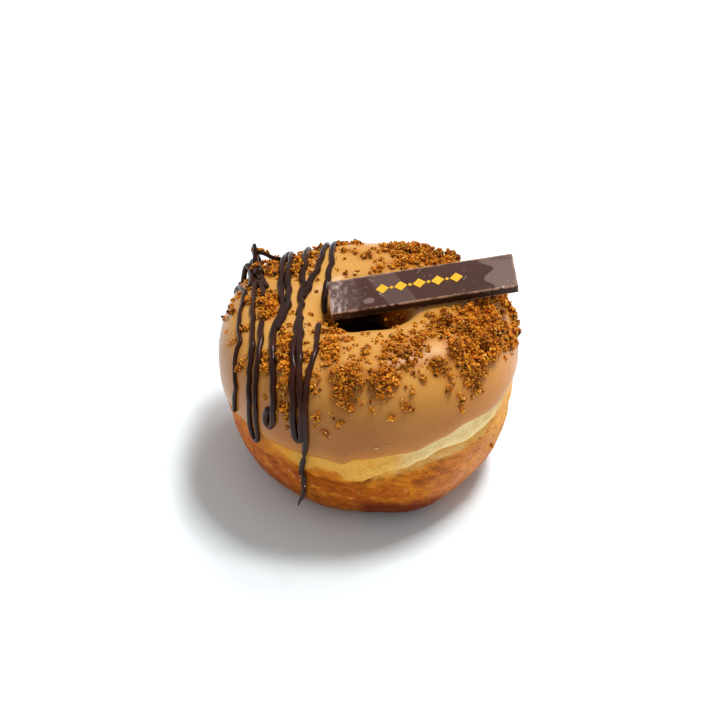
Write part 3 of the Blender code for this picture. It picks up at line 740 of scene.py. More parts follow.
def dough_colour(az, ang, rho, pts, skin):
    """Colours of the whole dough, with painted shade on the foot, painted shade and a highlight
    at the folds, and painted shade in the hole.
    """
    front = np.mod(az, 360)
    side = sides(front)
    brown_from, pale = along(PALE, az)
    far = np.radians(ang - brown_from) * rho + clouds(pts, 5, 51, 4)
    band = step(far, -.9, 1.) * pale
    patch = clouds(pts, 6, 61, 3)
    colour = mix(crust_colour(ang, far, pale, patch, side, skin),
                 band_colour(front, pts, side, skin), band)
    colour = fold_shade_and_highlight(colour, band, side, skin)
    # painted shade on the undercut foot, strongest across the front
    rise_from, rise_to, fall_from, fall_to = FOOT_SHADE
    middle = step(front, rise_from, rise_to) * step(-front, -fall_to, -fall_from)
    foot = step(-ang + 2 * patch, 50, 58) * (.35 + .65 * middle)
    colour = mix(colour, CRUST_SHADE, .9 * foot)
    inner = (ang < -95) | (ang > 120)
    # painted shade on the underside and the wall of the hole, less dark toward the lamps
    lit = step(np.cos(np.radians(az)), .2, .8)
    wall = mix(HOLE_SHADE, HOLE_BROWN, lit * (.8 + .4 * clouds(pts, 5, 71, 2)))
    return np.where(inner[..., None], wall, colour)


def dough():
    """The fried ring, with the folds and small relief of its skin."""
    az = fine_azimuths()
    edge = along(ICING_EDGE, az)[0]
    ang = dough_angles(az, edge)
    rho = section(az, ang)
    pts = place(az, ang)
    skin = skin_fields(az, ang, rho, pts)
    outer = (np.abs(((ang + 180) % 360) - 180) < -SIDE_END) & (ang < edge + ICING_OVER)
    relief = np.where(outer, skin_relief(skin, pts), .1 * clouds(pts, 3, 31, 2))
    above_foot = step(ang, -78, -72)
    pts = pts + outward(pts) * (relief * above_foot)[..., None]
    colour = dough_colour(az, ang, rho, pts, skin)
    make_piece("fried_ring", pts.reshape(-1, 3), grid_faces(*ang.shape), "dough_ring",
               colour.reshape(-1, 3), food_material("fried_dough")[0])


# drizzle

TUBE_SIDES = 12
TUBE_STEP = 0.55
STATION_STEP = 7              # most degrees between the points that a strand follows
CHOC_LINE = srgb(40, 17, 9)
CHOC_THIN = srgb(66, 28, 14)


def strand_path(index):
    """Centre line of a strand over the icing or clear of bare dough."""
    radius, table = STRANDS[index]
    stops = []
    for here, nxt in zip(table, table[1:]):
        n = max(1, math.ceil(max(abs(q - p) for p, q in zip(here, nxt))
                             / STATION_STEP))
        stops += [[p + (q - p) * k / n for p, q in zip(here, nxt)] for k in range(n)]
    stops.append(table[-1])
    points = []
    for az, ang, *lift in stops:
        off = GAP + ICING_THICK + STRAND_SINK * radius
        if index == TAIL and ang < TAIL_FROM:
            off += (GAP + radius + TAIL_CLEAR - off) * min(1, (TAIL_FROM - ang) / 14)
        points.append(place(az, ang, off + sum(lift)))
    return smooth_path(points, TUBE_STEP)


def strand_radii(index, path):
    """Radius along a strand: beads and thin places, rounded ends."""
    radius = STRANDS[index][0]
    n = len(path)
    here = np.arange(n) * TUBE_STEP
    line = np.stack([here, np.full(n, index * 7.1), np.zeros(n)], -1)
    r = radius * (1 + .16 * clouds(line, 9, 81, 2) + .06 * clouds(line, 2.5, 91, 1))
    run = np.minimum(here, here[::-1])
    r = r * np.sqrt(np.clip(1 - (1 - np.minimum(1, run / radius)) ** 2, .02, 1))
    if index == TAIL:
        r = r * (1 - .5 * bump(path[:, 2] - PINCH_Z, 1.))
        r = r * (1 - .75 * step(here, here[-1] - TIP_RUN, here[-1]))
    if index == SPIKE:
        peak = path[:, 2].max()
        r = r * (1 - .5 * step(path[:, 2], peak - SPIKE_RUN, peak))
    return r


def tube_frames(path):
    """Unit side and up directions along a path, carried on without twist."""
    ahead = np.vstack([path[1:], path[-1:]])
    behind = np.vstack([path[:1], path[:-1]])
    d = ahead - behind
    d /= np.linalg.norm(d, axis=1, keepdims=True)
    side = np.cross(d[0], outward(path[:1])[0])
    sides = []
    for way in d:
        side = side - way * (side @ way)
        side /= np.linalg.norm(side)
        sides.append(side)
    sides = np.array(sides)
    return sides, np.cross(sides, d)


def drizzle(paths):
    """All strands as one mesh of tubes."""
    verts, faces, tints = [], [], []
    start = 0
    for index, path in enumerate(paths):
        radii = strand_radii(index, path)
        side, up = tube_frames(path)
        w = 2 * np.pi * np.arange(TUBE_SIDES) / TUBE_SIDES
        ring = (side[:, None] * np.cos(w)[None, :, None]
                + up[:, None] * np.sin(w)[None, :, None])
        pts = path[:, None] + ring * radii[:, None, None]
        n = len(path)
        verts.append(pts.reshape(-1, 3))
        i = np.arange(n - 1)[:, None] * TUBE_SIDES
        j = np.arange(TUBE_SIDES)[None, :]
        k = (j + 1) % TUBE_SIDES
        faces.append(np.stack([i + j, i + k, i + k + TUBE_SIDES, i + j + TUBE_SIDES], -1)
                     .reshape(-1, 4) + start)
        tint = mix(CHOC_LINE, CHOC_THIN, .1 + .8 * clouds(pts, 6, 97, 2))
        tints.append(tint.reshape(-1, 3))
        start += n * TUBE_SIDES
    make_piece("chocolate_drizzle", np.concatenate(verts), np.concatenate(faces),
               "caramel_icing", np.concatenate(tints), drizzle_material())


# crumbs

def bar_matrix():
    """Where the bar lies."""
    return (Matrix.Translation(BAR_CENTRE)
            @ Matrix.Rotation(math.radians(BAR_YAW), 4, "Z")
            @ Matrix.Rotation(math.radians(-BAR_RISE), 4, "Y")
            @ Matrix.Rotation(math.radians(BAR_TILT), 4, "X"))


def bar_distance(points):
    """Distance from points to the bar, 0 inside it."""
    inv = np.array(bar_matrix().inverted())
    local = points @ inv[:3, :3].T + inv[:3, 3]
    over = np.maximum(0, np.abs(local) - np.array(BAR) / 2)
    return np.linalg.norm(over, axis=-1)


def scale_at(az, ang):
    """Distances from the hole's axis and from the section's centre."""
    here = place(az, ang)
    return math.hypot(here[0], here[1]), float(section(az, ang))


def beside(az, ang, scale, spread, turn):
    """Station that lies spread millimetres away in the direction turn."""
    flat, rho = scale
    return (az + math.degrees(spread * math.cos(turn) / flat),
            ang + math.degrees(spread * math.sin(turn) / rho))


def draw_lumps():
    """Lumps of crumb: the solids' own grains, drawn the same way."""
    rng = random.Random(SEED)
    drawn = []
    for az, ang, radius in CLUMPS:
        count = max(1, round(GRAIN_SHARE * radius ** 2))
        size = min(GRAIN_MAX, max(GRAIN_MIN, .45 * radius))
        scale = scale_at(az, ang)
        for _ in range(count):
            spread = radius * math.sqrt(rng.random()) * (count > 1)
            spot = beside(az, ang, scale, spread, rng.uniform(0, 2 * math.pi))
            r = size * rng.uniform(.75, 1.1)
            drawn.append((r, *spot, rng.uniform(.1, .5)))
    drawn.sort(key=lambda g: -g[0])
    kept = []
    for r, az, ang, proud in drawn:
        centre = place(az, ang, GAP + max(ICING_THICK + proud * r, GRAIN_LIFT * r))
        if bar_distance(centre) < 1.15 * r + GAP:
            continue
        if all(np.linalg.norm(centre - c) > GRAIN_PACK * (r + q) for c, q in kept):
            kept.append((centre, r))
    return kept


def icosahedron():
    """Corners and triangles of a unit icosahedron."""
    g = (1 + 5 ** .5) / 2
    v = np.array([(-1, g, 0), (1, g, 0), (-1, -g, 0), (1, -g, 0), (0, -1, g), (0, 1, g),
                  (0, -1, -g), (0, 1, -g), (g, 0, -1), (g, 0, 1), (-g, 0, -1), (-g, 0, 1)])
    f = np.array([(0, 11, 5), (0, 5, 1), (0, 1, 7), (0, 7, 10), (0, 10, 11), (1, 5, 9),
                  (5, 11, 4), (11, 10, 2), (10, 7, 6), (7, 1, 8), (3, 9, 4), (3, 4, 2),
                  (3, 2, 6), (3, 6, 8), (3, 8, 9), (4, 9, 5), (2, 4, 11), (6, 2, 10),
                  (8, 6, 7), (9, 8, 1)])
    return v / np.linalg.norm(v[0]), f


def refine(v, f):
    """One subdivision of a ball of triangles."""
    verts, cache, faces = list(v), {}, []

    def middle(a, b):
        key = (min(a, b), max(a, b))
        if key not in cache:
            m = verts[a] + verts[b]
            verts.append(m / np.linalg.norm(m))
            cache[key] = len(verts) - 1
        return cache[key]

    for a, b, c in f:
        ab, bc, ca = middle(a, b), middle(b, c), middle(c, a)
        faces += [(a, ab, ca), (b, bc, ab), (c, ca, bc), (ab, bc, ca)]
    return np.array(verts), np.array(faces)


def balls(centres, radii, ball, jitter, rng):
    """Many rough grains as one set of vertices and triangles."""
    v, f = ball
    n = len(centres)
    spin = rng.normal(size=(n, 4))
    spin /= np.linalg.norm(spin, axis=1, keepdims=True)
    w, x, y, z = spin.T
    rot = np.stack([
        np.stack([1 - 2 * (y * y + z * z), 2 * (x * y - w * z), 2 * (x * z + w * y)], -1),
        np.stack([2 * (x * y + w * z), 1 - 2 * (x * x + z * z), 2 * (y * z - w * x)], -1),
        np.stack([2 * (x * z - w * y), 2 * (y * z + w * x), 1 - 2 * (x * x + y * y)], -1)], 1)
    shape = v[None] * rng.uniform(1 - jitter, 1 + jitter, (n, len(v), 1))
    shape = shape * rng.uniform(.72, 1.2, (n, 1, 3))
    pts = np.einsum("nij,nkj->nki", rot, shape) * radii[:, None, None]
    verts = (centres[:, None] + pts).reshape(-1, 3)
    faces = (f[None] + (np.arange(n) * len(v))[:, None, None]).reshape(-1, 3)
    return verts, faces


CRUMB_SHADES = (              # share, colour
    (.4, srgb(216, 126, 24)), (.24, srgb(238, 160, 46)), (.2, srgb(168, 88, 16)),
    (.08, srgb(118, 56, 12)), (.02, srgb(250, 196, 108)), (.04, srgb(30, 20, 16)))
CORE_BROWN = srgb(146, 78, 18)
# lumps in a drift of each kind: share of the drift's radius squared, least and
# greatest radius, height of the heap
LUMP_KINDS = ((.9, .22, .42, .5), (1.7, .28, .66, .8), (1.9, .4, .92, 1.6))
LOOSE_SHARE = (1.6, 2.2, 2.6)         # loose grains: the same share, with some
LOOSE_MORE, LOOSE_WIDE = 3, 1.35      # more, out to past the drift's radius
LOOSE_SIZE, LOOSE_PROUD = (.14, .36), .6
ON_STRANDS = ((9, .0, .55, 9), (10, .2, .9, 5))   # strand, from, to, lumps
HUNG_SIZE = (.45, .85)
GRAIN_SIZE = (.17, .48)
TONE_RANGE = (.5, 1.25)               # how dark and how light a lump may be
CORE_SHARE = .8                       # radius of a lump's plain core, in its own


def shades(rng, count, per):
    """A colour for each grain, repeated for each of its vertices."""
    share = np.array([s for s, _ in CRUMB_SHADES])
    pick = rng.choice(len(share), count, p=share / share.sum())
    colours = np.array([c for _, c in CRUMB_SHADES])[pick]
    colours = colours * rng.uniform(.85, 1.15, (count, 1))
    return np.repeat(colours, per, 0)


def line_finder(paths):
    """Test of which points are clear of the drizzle by a margin each."""
    line = np.concatenate(paths)
    radii = np.concatenate([strand_radii(i, p) for i, p in enumerate(paths)])
    tree = KDTree(len(line))
    for i, p in enumerate(line):
        tree.insert(p, i)
    tree.balance()

    def clear(points, margins):
        near = [tree.find(p) for p in points]
        return np.array([dist > radii[i] * 1.02 + m
                         for (_, i, dist), m in zip(near, margins)])

    return clear


def drift_lumps(pick):
    """Lumps of finer crumb in the drifts: centres and radii."""
    lumps = []
    for az, ang, radius, kind in DRIFTS:
        share, low, high, heap = LUMP_KINDS[kind]
        scale = scale_at(az, ang)
        for _ in range(max(1, round(share * radius ** 2 + .5 * kind))):
            spread = radius * math.sqrt(pick.random()) * .92
            spot = beside(az, ang, scale, spread, pick.uniform(0, 2 * math.pi))
            r = pick.uniform(low, high) * min(1, .55 + .25 * radius)
            top = heap * (1 - (spread / (radius * 1.05)) ** 2)
            off = GAP + ICING_THICK + .3 * r + pick.uniform(0, max(.05, top))
            lumps.append((place(*spot, off), r))
    return lumps


def strand_lumps(pick, paths):
    """Lumps that lie on the loose strands at the back."""
    lumps = []
    for index, low, high, count in ON_STRANDS:
        path, radius = paths[index], STRANDS[index][0]
        for _ in range(count):
            p = path[int(pick.uniform(low, high) * (len(path) - 1))]
            r = pick.uniform(*HUNG_SIZE)
            way = outward(p) + np.array([pick.uniform(-.7, .7) for _ in range(3)])
            lumps.append((p + way / np.linalg.norm(way) * (radius + .55 * r), r))
    return lumps


def loose_grains(pick):
    """Single grains on the drifts and a little past them: centres and radii."""
    out = []
    for az, ang, radius, kind in DRIFTS:
        scale = scale_at(az, ang)
        for _ in range(round(LOOSE_SHARE[kind] * radius ** 2) + LOOSE_MORE):
            spread = radius * LOOSE_WIDE * math.sqrt(pick.random())
            spot = beside(az, ang, scale, spread, pick.uniform(0, 2 * math.pi))
            r = pick.uniform(*LOOSE_SIZE)
            out.append((place(*spot, GAP + ICING_THICK + LOOSE_PROUD * r), r))
    return out


def apart(pairs):
    """Centres and radii as two arrays."""
    return np.array([c for c, _ in pairs]), np.array([r for _, r in pairs])


def lump_layout(pick, paths, clear):
    """Centres and radii of the lumps, clear of the drizzle and the bar."""
    centres, radii = apart(draw_lumps() + drift_lumps(pick))
    good = clear(centres, radii * .3) & (bar_distance(centres) > radii + .15)
    hung, hung_radii = apart(strand_lumps(pick, paths))
    return (np.concatenate([centres[good], hung]),
            np.concatenate([radii[good], hung_radii]))


def lump_grains(rng, centres, radii, tones):
    """Grains that cover the lumps: centres, radii and tones."""
    grains, sizes, tone = [], [], []
    for c, r, shade in zip(centres, radii, tones):
        n = int(17 * r ** 2) + 6
        d = rng.normal(size=(n * 2, 3))
        d /= np.linalg.norm(d, axis=1, keepdims=True)
        d = d[d @ outward(c) > -.45][:n]
        grains.append(c + d * r * rng.uniform(.6, 1.12, (len(d), 1)))
        sizes.append(rng.uniform(*GRAIN_SIZE, len(d)) * (.8 + .2 * min(1, r)))
        tone.append(np.full(len(d), shade))
    return grains, sizes, tone


def crumb_piece(name, verts, faces, tint, node="caramel_icing"):
    """Angular grains as one piece, in the material that all crumbs share."""
    mat = bpy.data.materials.get("biscuit_crumb") or food_material("biscuit_crumb")[0]
    make_piece(name, verts, faces, node, tint, mat, smooth=False)


def crumbs(paths):
    """All biscuit crumbs; centres and radii of the lumps, for the icing's stains."""
    rng = np.random.default_rng(SEED)
    pick = random.Random(SEED + 1)
    clear = line_finder(paths)
    centres, radii = lump_layout(pick, paths, clear)
    tones = np.clip(.99 + .5 * clouds(centres, 5, 201, 2)
                    + rng.uniform(-.14, .14, len(centres)), *TONE_RANGE)
    grains, sizes, tone = lump_grains(rng, centres, radii, tones)
    loose, loose_sizes = apart(loose_grains(pick))
    grains = np.concatenate([*grains, loose])
    sizes = np.concatenate([*sizes, loose_sizes])
    tone = np.concatenate([*tone, np.ones(len(loose))])
    good = clear(grains, sizes * .2) & (bar_distance(grains) > sizes * 1.2 + .05)
    grains, sizes, tone = grains[good], sizes[good], tone[good]

    ball = icosahedron()
    fine_ball = refine(*ball)
    verts, faces = balls(centres, radii * CORE_SHARE, fine_ball, .2, rng)
    crumb_piece("crumb_cores", verts, faces,
                np.repeat(CORE_BROWN[None] * tones[:, None], len(fine_ball[0]), 0))
    order = np.argsort(sizes)
    third = len(order) // 3
    for name, part in (("crumbs_small", order[:third]),
                       ("crumbs_middle", order[third:2 * third]),
                       ("crumbs_large", order[2 * third:])):
        verts, faces = balls(grains[part], sizes[part], ball, .42, rng)
        tint = shades(rng, len(part), len(ball[0]))
        crumb_piece(name, verts, faces, tint * np.repeat(tone[part], len(ball[0]))[:, None])
    print("crumbs", len(centres), "lumps", len(grains), "grains")
    return centres, radii


# specks of sugar at stations on the icing and on the tail: the last is a radius
SPECKS = ((272.5, 3.5, .3), (273., 2.9, .22), (272., 3., .2), (276, 5.5, .17),
          (277, 5.2, .14), (268.5, 2, .12), (262, -3, .12), (289, 10, .12))
TAIL_SPECKS = ((243.3, -37, .26), (243.2, -39, .2), (245.1, -42, .24),
               (244.9, -40.5, .16))
TAIL_TOP = 2.2                # height of the tail's specks over the dough
STRAY, STRAY_GRAINS = (327.5, -41.5, .75), 26   # the one crumb on the crust
SUGAR = srgb(250, 232, 200)


def specks():
    """Pale sugar grains on the icing and the tail, and one crumb on the crust."""
    rng = np.random.default_rng(SEED + 2)
    spots = [place(az, ang, GAP + ICING_THICK + .4 * r) for az, ang, r in SPECKS]
    spots += [place(az, ang, TAIL_TOP) for az, ang, _ in TAIL_SPECKS]
    sizes = np.array([r for _, _, r in SPECKS + TAIL_SPECKS])
    ball = icosahedron()
    verts, faces = balls(np.array(spots), sizes, ball, .3, rng)
    crumb_piece("sugar_specks", verts, faces, np.broadcast_to(SUGAR, verts.shape))
    az, ang, radius = STRAY
    n = STRAY_GRAINS
    d = rng.normal(size=(n, 3))
    d *= radius * rng.uniform(.2, .9, (n, 1)) / np.linalg.norm(d, axis=1, keepdims=True)
    verts, faces = balls(place(az, ang, .3 * radius) + d, rng.uniform(.2, .4, n), ball,
                         .4, rng)
    crumb_piece("stray_crumb", verts, faces, shades(rng, n, len(ball[0])), "dough_ring")


# icing

ICING_COLUMNS, ICING_ROWS, ICING_UNDER_ROWS = 420, 84, 10
EDGE_THICK, EDGE_RUN = .3, 2.2      # at the edge, and how far it takes to thicken
ICING_TAN = srgb(206, 150, 72)      # on the crest
ICING_FLANK_SHADE = srgb(178, 106, 32)     # painted shade on the flank; the face on the dough takes it too
ICING_PAINTED_LIGHT = srgb(204, 128, 42)     # painted light on the flank toward the lamps, and a painted sheen near the lower edge
ICING_STAIN = srgb(166, 92, 14)     # where crumbs have soaked in
ICING_HOLE_SHADE = srgb(44, 18, 6)        # painted shade down in the hole
FLANK_LIT_FROM = (285, 335)              # azimuths where painted light on the flank comes in
SHADED = (225, 245, 262, 285)       # azimuths where painted shade darkens the flank more, and where it fades


def icing_edge(az):
    """Lower edge of the icing with its small waves."""
    a = np.radians(az)
    here = np.stack([np.cos(a) * 44, np.sin(a) * 44, np.zeros_like(az)], -1)
    return along(ICING_EDGE, az)[0] + 1.1 * clouds(here, 7, 5, 2)


def icing_thickness(az, ang, edge, end):
    """Thickness, less at both ends and a little uneven between them."""
    near = np.minimum(ang - edge, end - ang)
    run = np.clip(np.radians(near) * (RING_R - SECTION_R) / EDGE_RUN, 0, 1)
    thick = EDGE_THICK + (ICING_THICK - EDGE_THICK) * np.sqrt(run * (2 - run))
    return thick + .22 * clouds(place(az, ang), 11, 101, 2) * run


def stains(points, lumps, radii):
    """How far crumbs have coloured the icing round them, from 0 to 1."""
    flat = points.reshape(-1, 3)
    stain = np.zeros(len(flat))
    for c, r in zip(lumps, radii):
        d2 = ((flat - c) ** 2).sum(1)
        stain += r * np.exp(-d2 / (1.5 + .8 * r) ** 2)
    return step(stain.reshape(points.shape[:-1]) + .2 * clouds(points, 3, 111, 2), .1, 2.2)


def icing_colour(az, ang, edge, outer, stain):
    """Tan crest, painted shade on the flank with painted light toward the lamps and a painted
    sheen near the edge, brown stains, painted shade in the hole.
    """
    shade_from, shade_full, fade_from, fade_to = SHADED
    everywhere = 0 * ang
    flank = np.maximum(step(-ang, -62, -8), .5 * step(ang, 130, 165))
    flank_lit = step(az, *FLANK_LIT_FROM) * (1 - step(az, *BACK_FROM)) + everywhere
    shaded = step(az, shade_from, shade_full) * step(-az, -fade_to, -fade_from)
    # painted shade on the flank, painted light toward the lamps, more painted shade on the left
    # and a painted sheen near the lower edge
    deep = layers(ICING_FLANK_SHADE, (ICING_PAINTED_LIGHT, flank_lit), (.86, shaded + everywhere),
                  (ICING_PAINTED_LIGHT, .6 * step(edge + 15 - ang, 0, 12)))
    lit = step(np.cos(np.radians(az)), .2, .8)
    return layers(ICING_TAN, (deep, flank + .25 * clouds(outer, 14, 121, 2)),
                  (ICING_STAIN, .7 * stain),
                  # painted shade in the hole; on the side toward the lamps a lighter stained
                  # colour
                  (mix(ICING_HOLE_SHADE, ICING_STAIN * 1.3, lit), step(ang, 122, 146)))


def icing(lumps, radii):
    """The coat of icing: its outer face and the face on the dough."""
    az = np.linspace(0, 360, ICING_COLUMNS, endpoint=False)[:, None]
    edge, end = icing_edge(az), inner_end(az)
    f = np.linspace(0, 1, ICING_ROWS)[None, :]
    ang = edge + (end - edge) * (f - .06 * np.sin(2 * np.pi * f))
    outer = place(az, ang, GAP + icing_thickness(az, ang, edge, end))
    inner = place(az, end + (edge - end) * np.linspace(0, 1, ICING_UNDER_ROWS), GAP)
    pts = np.concatenate([outer, inner], 1)
    colour = icing_colour(az, ang, edge, outer, stains(outer, lumps, radii))
    tint = np.concatenate([colour, np.broadcast_to(ICING_FLANK_SHADE, inner.shape)], 1)
    make_piece("icing_coat", pts.reshape(-1, 3), grid_faces(*pts.shape[:2]),
               "caramel_icing", tint.reshape(-1, 3),
               food_material("caramel_icing")[0])


# chocolate bar

BAR_CELL = 0.3
CHOC = srgb(84, 52, 42)
CHOC_DARK = srgb(60, 34, 26)
# painted shade on the front face; also the crack's own dark colour
CHOC_CRACK_AND_SIDE_SHADE = srgb(40, 22, 12)
BLOOM = srgb(176, 152, 142)
# painted highlight along the edges
ARRIS_HIGHLIGHT = srgb(190, 150, 124)
CRYSTAL = srgb(225, 215, 205)
DUST_FROM = (17, 27)          # toward the left end
CORNER = (-26.5, -5)          # the left front corner, where sugar crystals stick
FROST_FROM = 19.6             # the frosted right end starts at a wavy line
OVAL = (-16.3, -3.4, 1.9, 1.1)   # a dull spot: centre, half sizes


def bar_surface():
    """Points of a rounded box, face by face, welded: vertices and quads."""
    half = np.array(BAR) / 2
    cells = [max(2, round(s / BAR_CELL)) for s in BAR]
    verts, index, faces = [], {}, []

    def vertex(key, p):
        if key not in index:
            index[key] = len(verts)
            verts.append(p)
        return index[key]

    for axis in range(3):
        u, v = (axis + 1) % 3, (axis + 2) % 3
        for side in (-1, 1):
            for i in range(cells[u]):
                for j in range(cells[v]):
                    quad = []
                    for du, dv in ((0, 0), (1, 0), (1, 1), (0, 1)):
                        key = [0, 0, 0]
                        key[axis] = cells[axis] if side > 0 else 0
                        key[u], key[v] = i + du, j + dv
                        p = np.array([2 * k / n - 1 for k, n in zip(key, cells)]) * half
                        quad.append(vertex(tuple(key), p))
                    faces.append(quad if side > 0 else quad[::-1])
    verts = np.array(verts)
    core = np.clip(verts, -(half - BAR_BEVEL), half - BAR_BEVEL)
    d = verts - core
    length = np.linalg.norm(d, axis=1, keepdims=True)
    rounded = core + d / np.maximum(length, 1e-9) * BAR_BEVEL
    edge = (np.abs(d) > 1e-6).sum(1) > 1
    verts = np.where(edge[:, None], rounded, verts)
    return verts, np.array(faces), edge


def bar_bloom(x, y, top, wave, fine, verts):
    """Pale film on the chocolate, from 0 to 1: dust, frost, a spot, smears."""
    dust = step(-x, *DUST_FROM) * (.25 + .9 * step(fine + .5 * wave, -.1, .5))
    line = FROST_FROM + 1.6 * np.sin(y * .9) + .8 * wave
    frost = step(x, line, line + .25) * .46 * (1 - .3 * step(y, 3, 6))
    cx, cy, wide, high = OVAL
    oval = .5 * step(1 - ((x - cx) / wide) ** 2 - ((y - cy) / high) ** 2 + .35 * fine,
                     0, .3)
    smear = .17 * (step(x, -13.5 - .5 * y, -13 - .5 * y)
                   * step(-x, 4.5 + .5 * y, 5 + .5 * y))
    scuff = step(clouds(verts * np.array((.4, 1.6, 1)), 2.4, 161, 3), .38, .6) * .3
    return np.clip(np.where(top, dust + frost + oval + smear + .5 * scuff, .45 * dust),
                   0, 1)


def bar_colour(verts, edge, top, front, wave, fine, bloom):
    """Dark chocolate with painted shade on the front face, its bloom, crack, painted highlights
    on the edges and crystals.
    """
    x, y, _ = verts.T
    colour = mix(CHOC, CHOC_DARK, .5 + .4 * wave)
    # painted shade on the front face
    colour = np.where(front[:, None], mix(CHOC_CRACK_AND_SIDE_SHADE, CHOC_DARK, .3 + .6 * fine), colour)
    crack = bump(y - 5.2 + .05 * (x - 21) ** 2 / 2, .18) * step(x, 21.5, 22.5)
    speck = step(clouds(verts, .55, 171, 1), .72, .85) * step(clouds(verts, 7, 181, 2), .1, .4)
    corner = bump(x - CORNER[0], 3.2) * bump(y - CORNER[1], 3.4)
    crystals = step(clouds(verts * np.array((1, .5, 1)), .9, 191, 2), .1, .35) * corner
    return layers(colour, (BLOOM, .68 * bloom), (CHOC_CRACK_AND_SIDE_SHADE, .7 * crack * top),
                  # painted highlight along the rounded edges
                  (ARRIS_HIGHLIGHT, .8 * edge * step(fine, -.6, .3)),
                  (CRYSTAL, np.clip(.7 * speck + .6 * crystals * top, 0, .8)))


def to_world(points):
    """Points in the bar's own axes, carried to where it lies."""
    m = np.array(bar_matrix())
    return points @ m[:3, :3].T + m[:3, 3]


def bar():
    """The chocolate bar, with chipped edges and an uneven top and front."""
    verts, faces, edge = bar_surface()
    half = np.array(BAR) / 2
    x, y, z = verts.T
    top = z > half[2] - .02
    front = y < -half[1] + .02
    wave = clouds(verts, 6, 131, 3)
    fine = clouds(verts, 1.2, 141, 3)
    chip = np.maximum(0, clouds(verts, 2.2, 151, 2) - .35) * edge
    moved = verts - verts / np.linalg.norm(verts, axis=1, keepdims=True) * (.25 * chip)[:, None]
    moved[:, 2] += .03 * wave * top
    moved[:, 1] -= .05 * fine * front
    bloom = bar_bloom(x, y, top, wave, fine, verts)
    obj = make_piece("bar_body", to_world(moved), faces, "chocolate_bar",
                     bar_colour(verts, edge, top, front, wave, fine, bloom),
                     bar_material())
    layer = obj.data.attributes.new("Dull", "FLOAT", "POINT")
    layer.data.foreach_set(
        "value", np.clip(.36 + .35 * bloom + .25 * front + .06 * wave, .2, .9))


MOTIF_FROM, MOTIF_TO = -14.6, 13.2
MOTIF_HALF = 1.75             # half height of a lozenge
MOTIF_UP = .35                # middle line of the row, over the bar's own
MOTIF_SUNK, MOTIF_RISE = -.05, .05
LOZENGES = 5
DOT_R, DOT_SIDES = .5, 16
PRINT_YELLOW = srgb(240, 184, 38)


def motif_outlines():
    """Lozenges in a row with a dot between each two."""
    shapes = []
    pitch = (MOTIF_TO - MOTIF_FROM) / LOZENGES
    for k in range(LOZENGES):
        cx = MOTIF_FROM + pitch * (k + .5)
        shapes.append([(cx - pitch * .36, 0), (cx, -MOTIF_HALF), (cx + pitch * .36, 0),
                       (cx, MOTIF_HALF)])
        if k:
            turns = [2 * math.pi * w / DOT_SIDES for w in range(DOT_SIDES)]
            shapes.append([(cx - pitch / 2 + DOT_R * math.cos(t), DOT_R * math.sin(t))
                           for t in turns])
    return shapes


def motif():
    """A plain printed row of lozenges and dots on the bar's top face."""
    verts, faces, start = [], [], 0
    for outline in motif_outlines():
        n = len(outline)
        for z in (MOTIF_SUNK, MOTIF_RISE):
            verts += [(px, py + MOTIF_UP, BAR[2] / 2 + z) for px, py in outline]
        faces.append([start + n + k for k in range(n)])
        faces.append([start + k for k in reversed(range(n))])
        for k in range(n):
            j = (k + 1) % n
            faces.append([start + k, start + j, start + n + j, start + n + k])
        start += 2 * n
    make_piece("bar_motif", to_world(np.array(verts)), np.array(faces, dtype=object),
               None, np.broadcast_to(PRINT_YELLOW, (len(verts), 3)),
               food_material("yellow_print")[0], smooth=False)


# floor, light and camera

FLOOR_HALF, FLOOR_DROP = 3.0, .0001      # metres
FLOOR_COLOUR, FLOOR_ROUGH, FLOOR_SPEC = (.85, .92, .94, 1), .9, .2


def floor():
    """The plain pale floor."""
    mesh = bpy.data.meshes.new("floor")
    h = FLOOR_HALF
    mesh.from_pydata([(-h, -h, 0), (h, -h, 0), (h, h, 0), (-h, h, 0)], [], [(0, 1, 2, 3)])
    obj = bpy.data.objects.new("floor", mesh)
    obj.location.z = -FLOOR_DROP
    bpy.context.scene.collection.objects.link(obj)
    mat, _, shader = new_material("pale_floor", FLOOR_ROUGH, FLOOR_SPEC)
    shader.inputs["Base Color"].default_value = FLOOR_COLOUR
    obj.data.materials.append(mat)


LIGHTS = (      # name, direction from the ring, side in metres, power in watts, gloss
    ("key", (.30, .20, .93), .42, 30.0, False),
    ("window", (.22, .48, .84), .3, 9.0, True),
    ("pane", (.45, .38, .81), .25, 4.0, True))
LIGHT_AWAY = 2.0
LIGHT_AIM = (0, 0, .03)
SKY = .46                     # strength of the white light from all sides


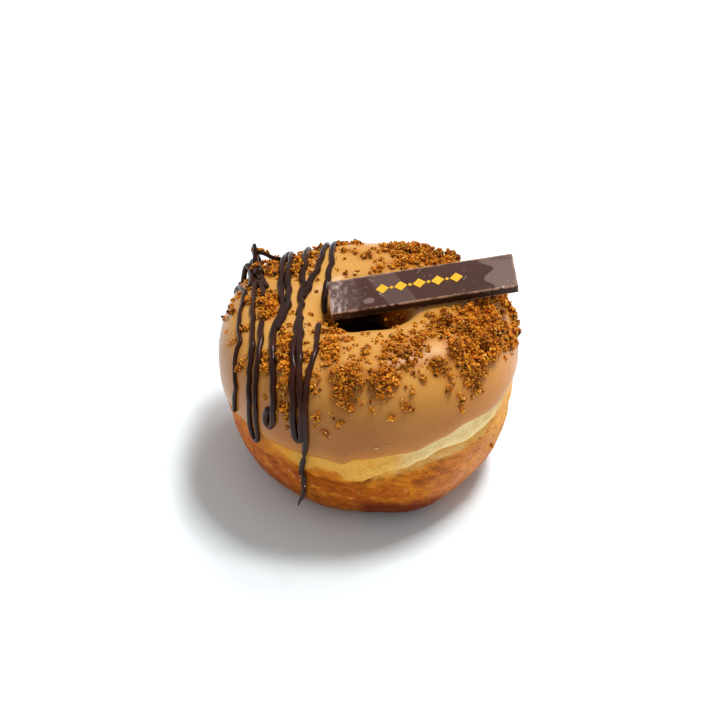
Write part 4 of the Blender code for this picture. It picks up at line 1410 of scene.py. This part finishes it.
def lights():
    """White light from all sides, and soft square lamps."""
    world = bpy.data.worlds.new("studio")
    bpy.context.scene.world = world
    world.use_nodes = True
    back = world.node_tree.nodes["Background"]
    back.inputs["Color"].default_value = (1, 1, 1, 1)
    back.inputs["Strength"].default_value = SKY
    for name, way, side, power, gloss in LIGHTS:
        way = Vector(way).normalized()
        data = bpy.data.lights.new(name, "AREA")
        data.shape = "SQUARE"
        data.size = side
        data.energy = power
        obj = bpy.data.objects.new(name, data)
        obj.location = Vector(LIGHT_AIM) + way * LIGHT_AWAY
        obj.visible_glossy = gloss
        obj.rotation_euler = way.to_track_quat("Z", "Y").to_euler()
        bpy.context.scene.collection.objects.link(obj)


CAMERA_ELEVATION = 38.0
CAMERA_DISTANCE = 450.0
CAMERA_SCALE = 3.267          # pixels for each millimetre at the ring's waist
CENTRE_PIXEL = (368.6, 352.6)  # where the middle of the waist is
FRAME_SIDE = 720              # pixels
SENSOR = 36


def camera():
    """Camera at the photograph's angle, with the ring where the frame has it."""
    e = math.radians(CAMERA_ELEVATION)
    back = Vector((0, -math.cos(e), math.sin(e)))
    up = Vector((0, math.sin(e), math.cos(e)))
    right = Vector((1, 0, 0))
    middle = FRAME_SIDE / 2
    aim = (Vector((0, 0, WAIST_Z)) - right * ((CENTRE_PIXEL[0] - middle) / CAMERA_SCALE)
           - up * ((middle - CENTRE_PIXEL[1]) / CAMERA_SCALE))
    data = bpy.data.cameras.new("camera")
    data.sensor_width = SENSOR
    data.lens = SENSOR * CAMERA_SCALE * CAMERA_DISTANCE / FRAME_SIDE
    data.clip_start = .01
    obj = bpy.data.objects.new("camera", data)
    obj.location = (aim + back * CAMERA_DISTANCE) * MM
    obj.rotation_euler = (-back).to_track_quat("-Z", "Y").to_euler()
    bpy.context.scene.collection.objects.link(obj)
    bpy.context.scene.camera = obj


def main():
    """Build every piece, then the studio and the camera."""
    paths = [strand_path(i) for i in range(len(STRANDS))]
    dough()
    drizzle(paths)
    lumps, radii = crumbs(paths)
    specks()
    icing(lumps, radii)
    bar()
    motif()
    floor()
    lights()
    camera()
    bpy.context.scene.view_settings.view_transform = "Standard"


main()
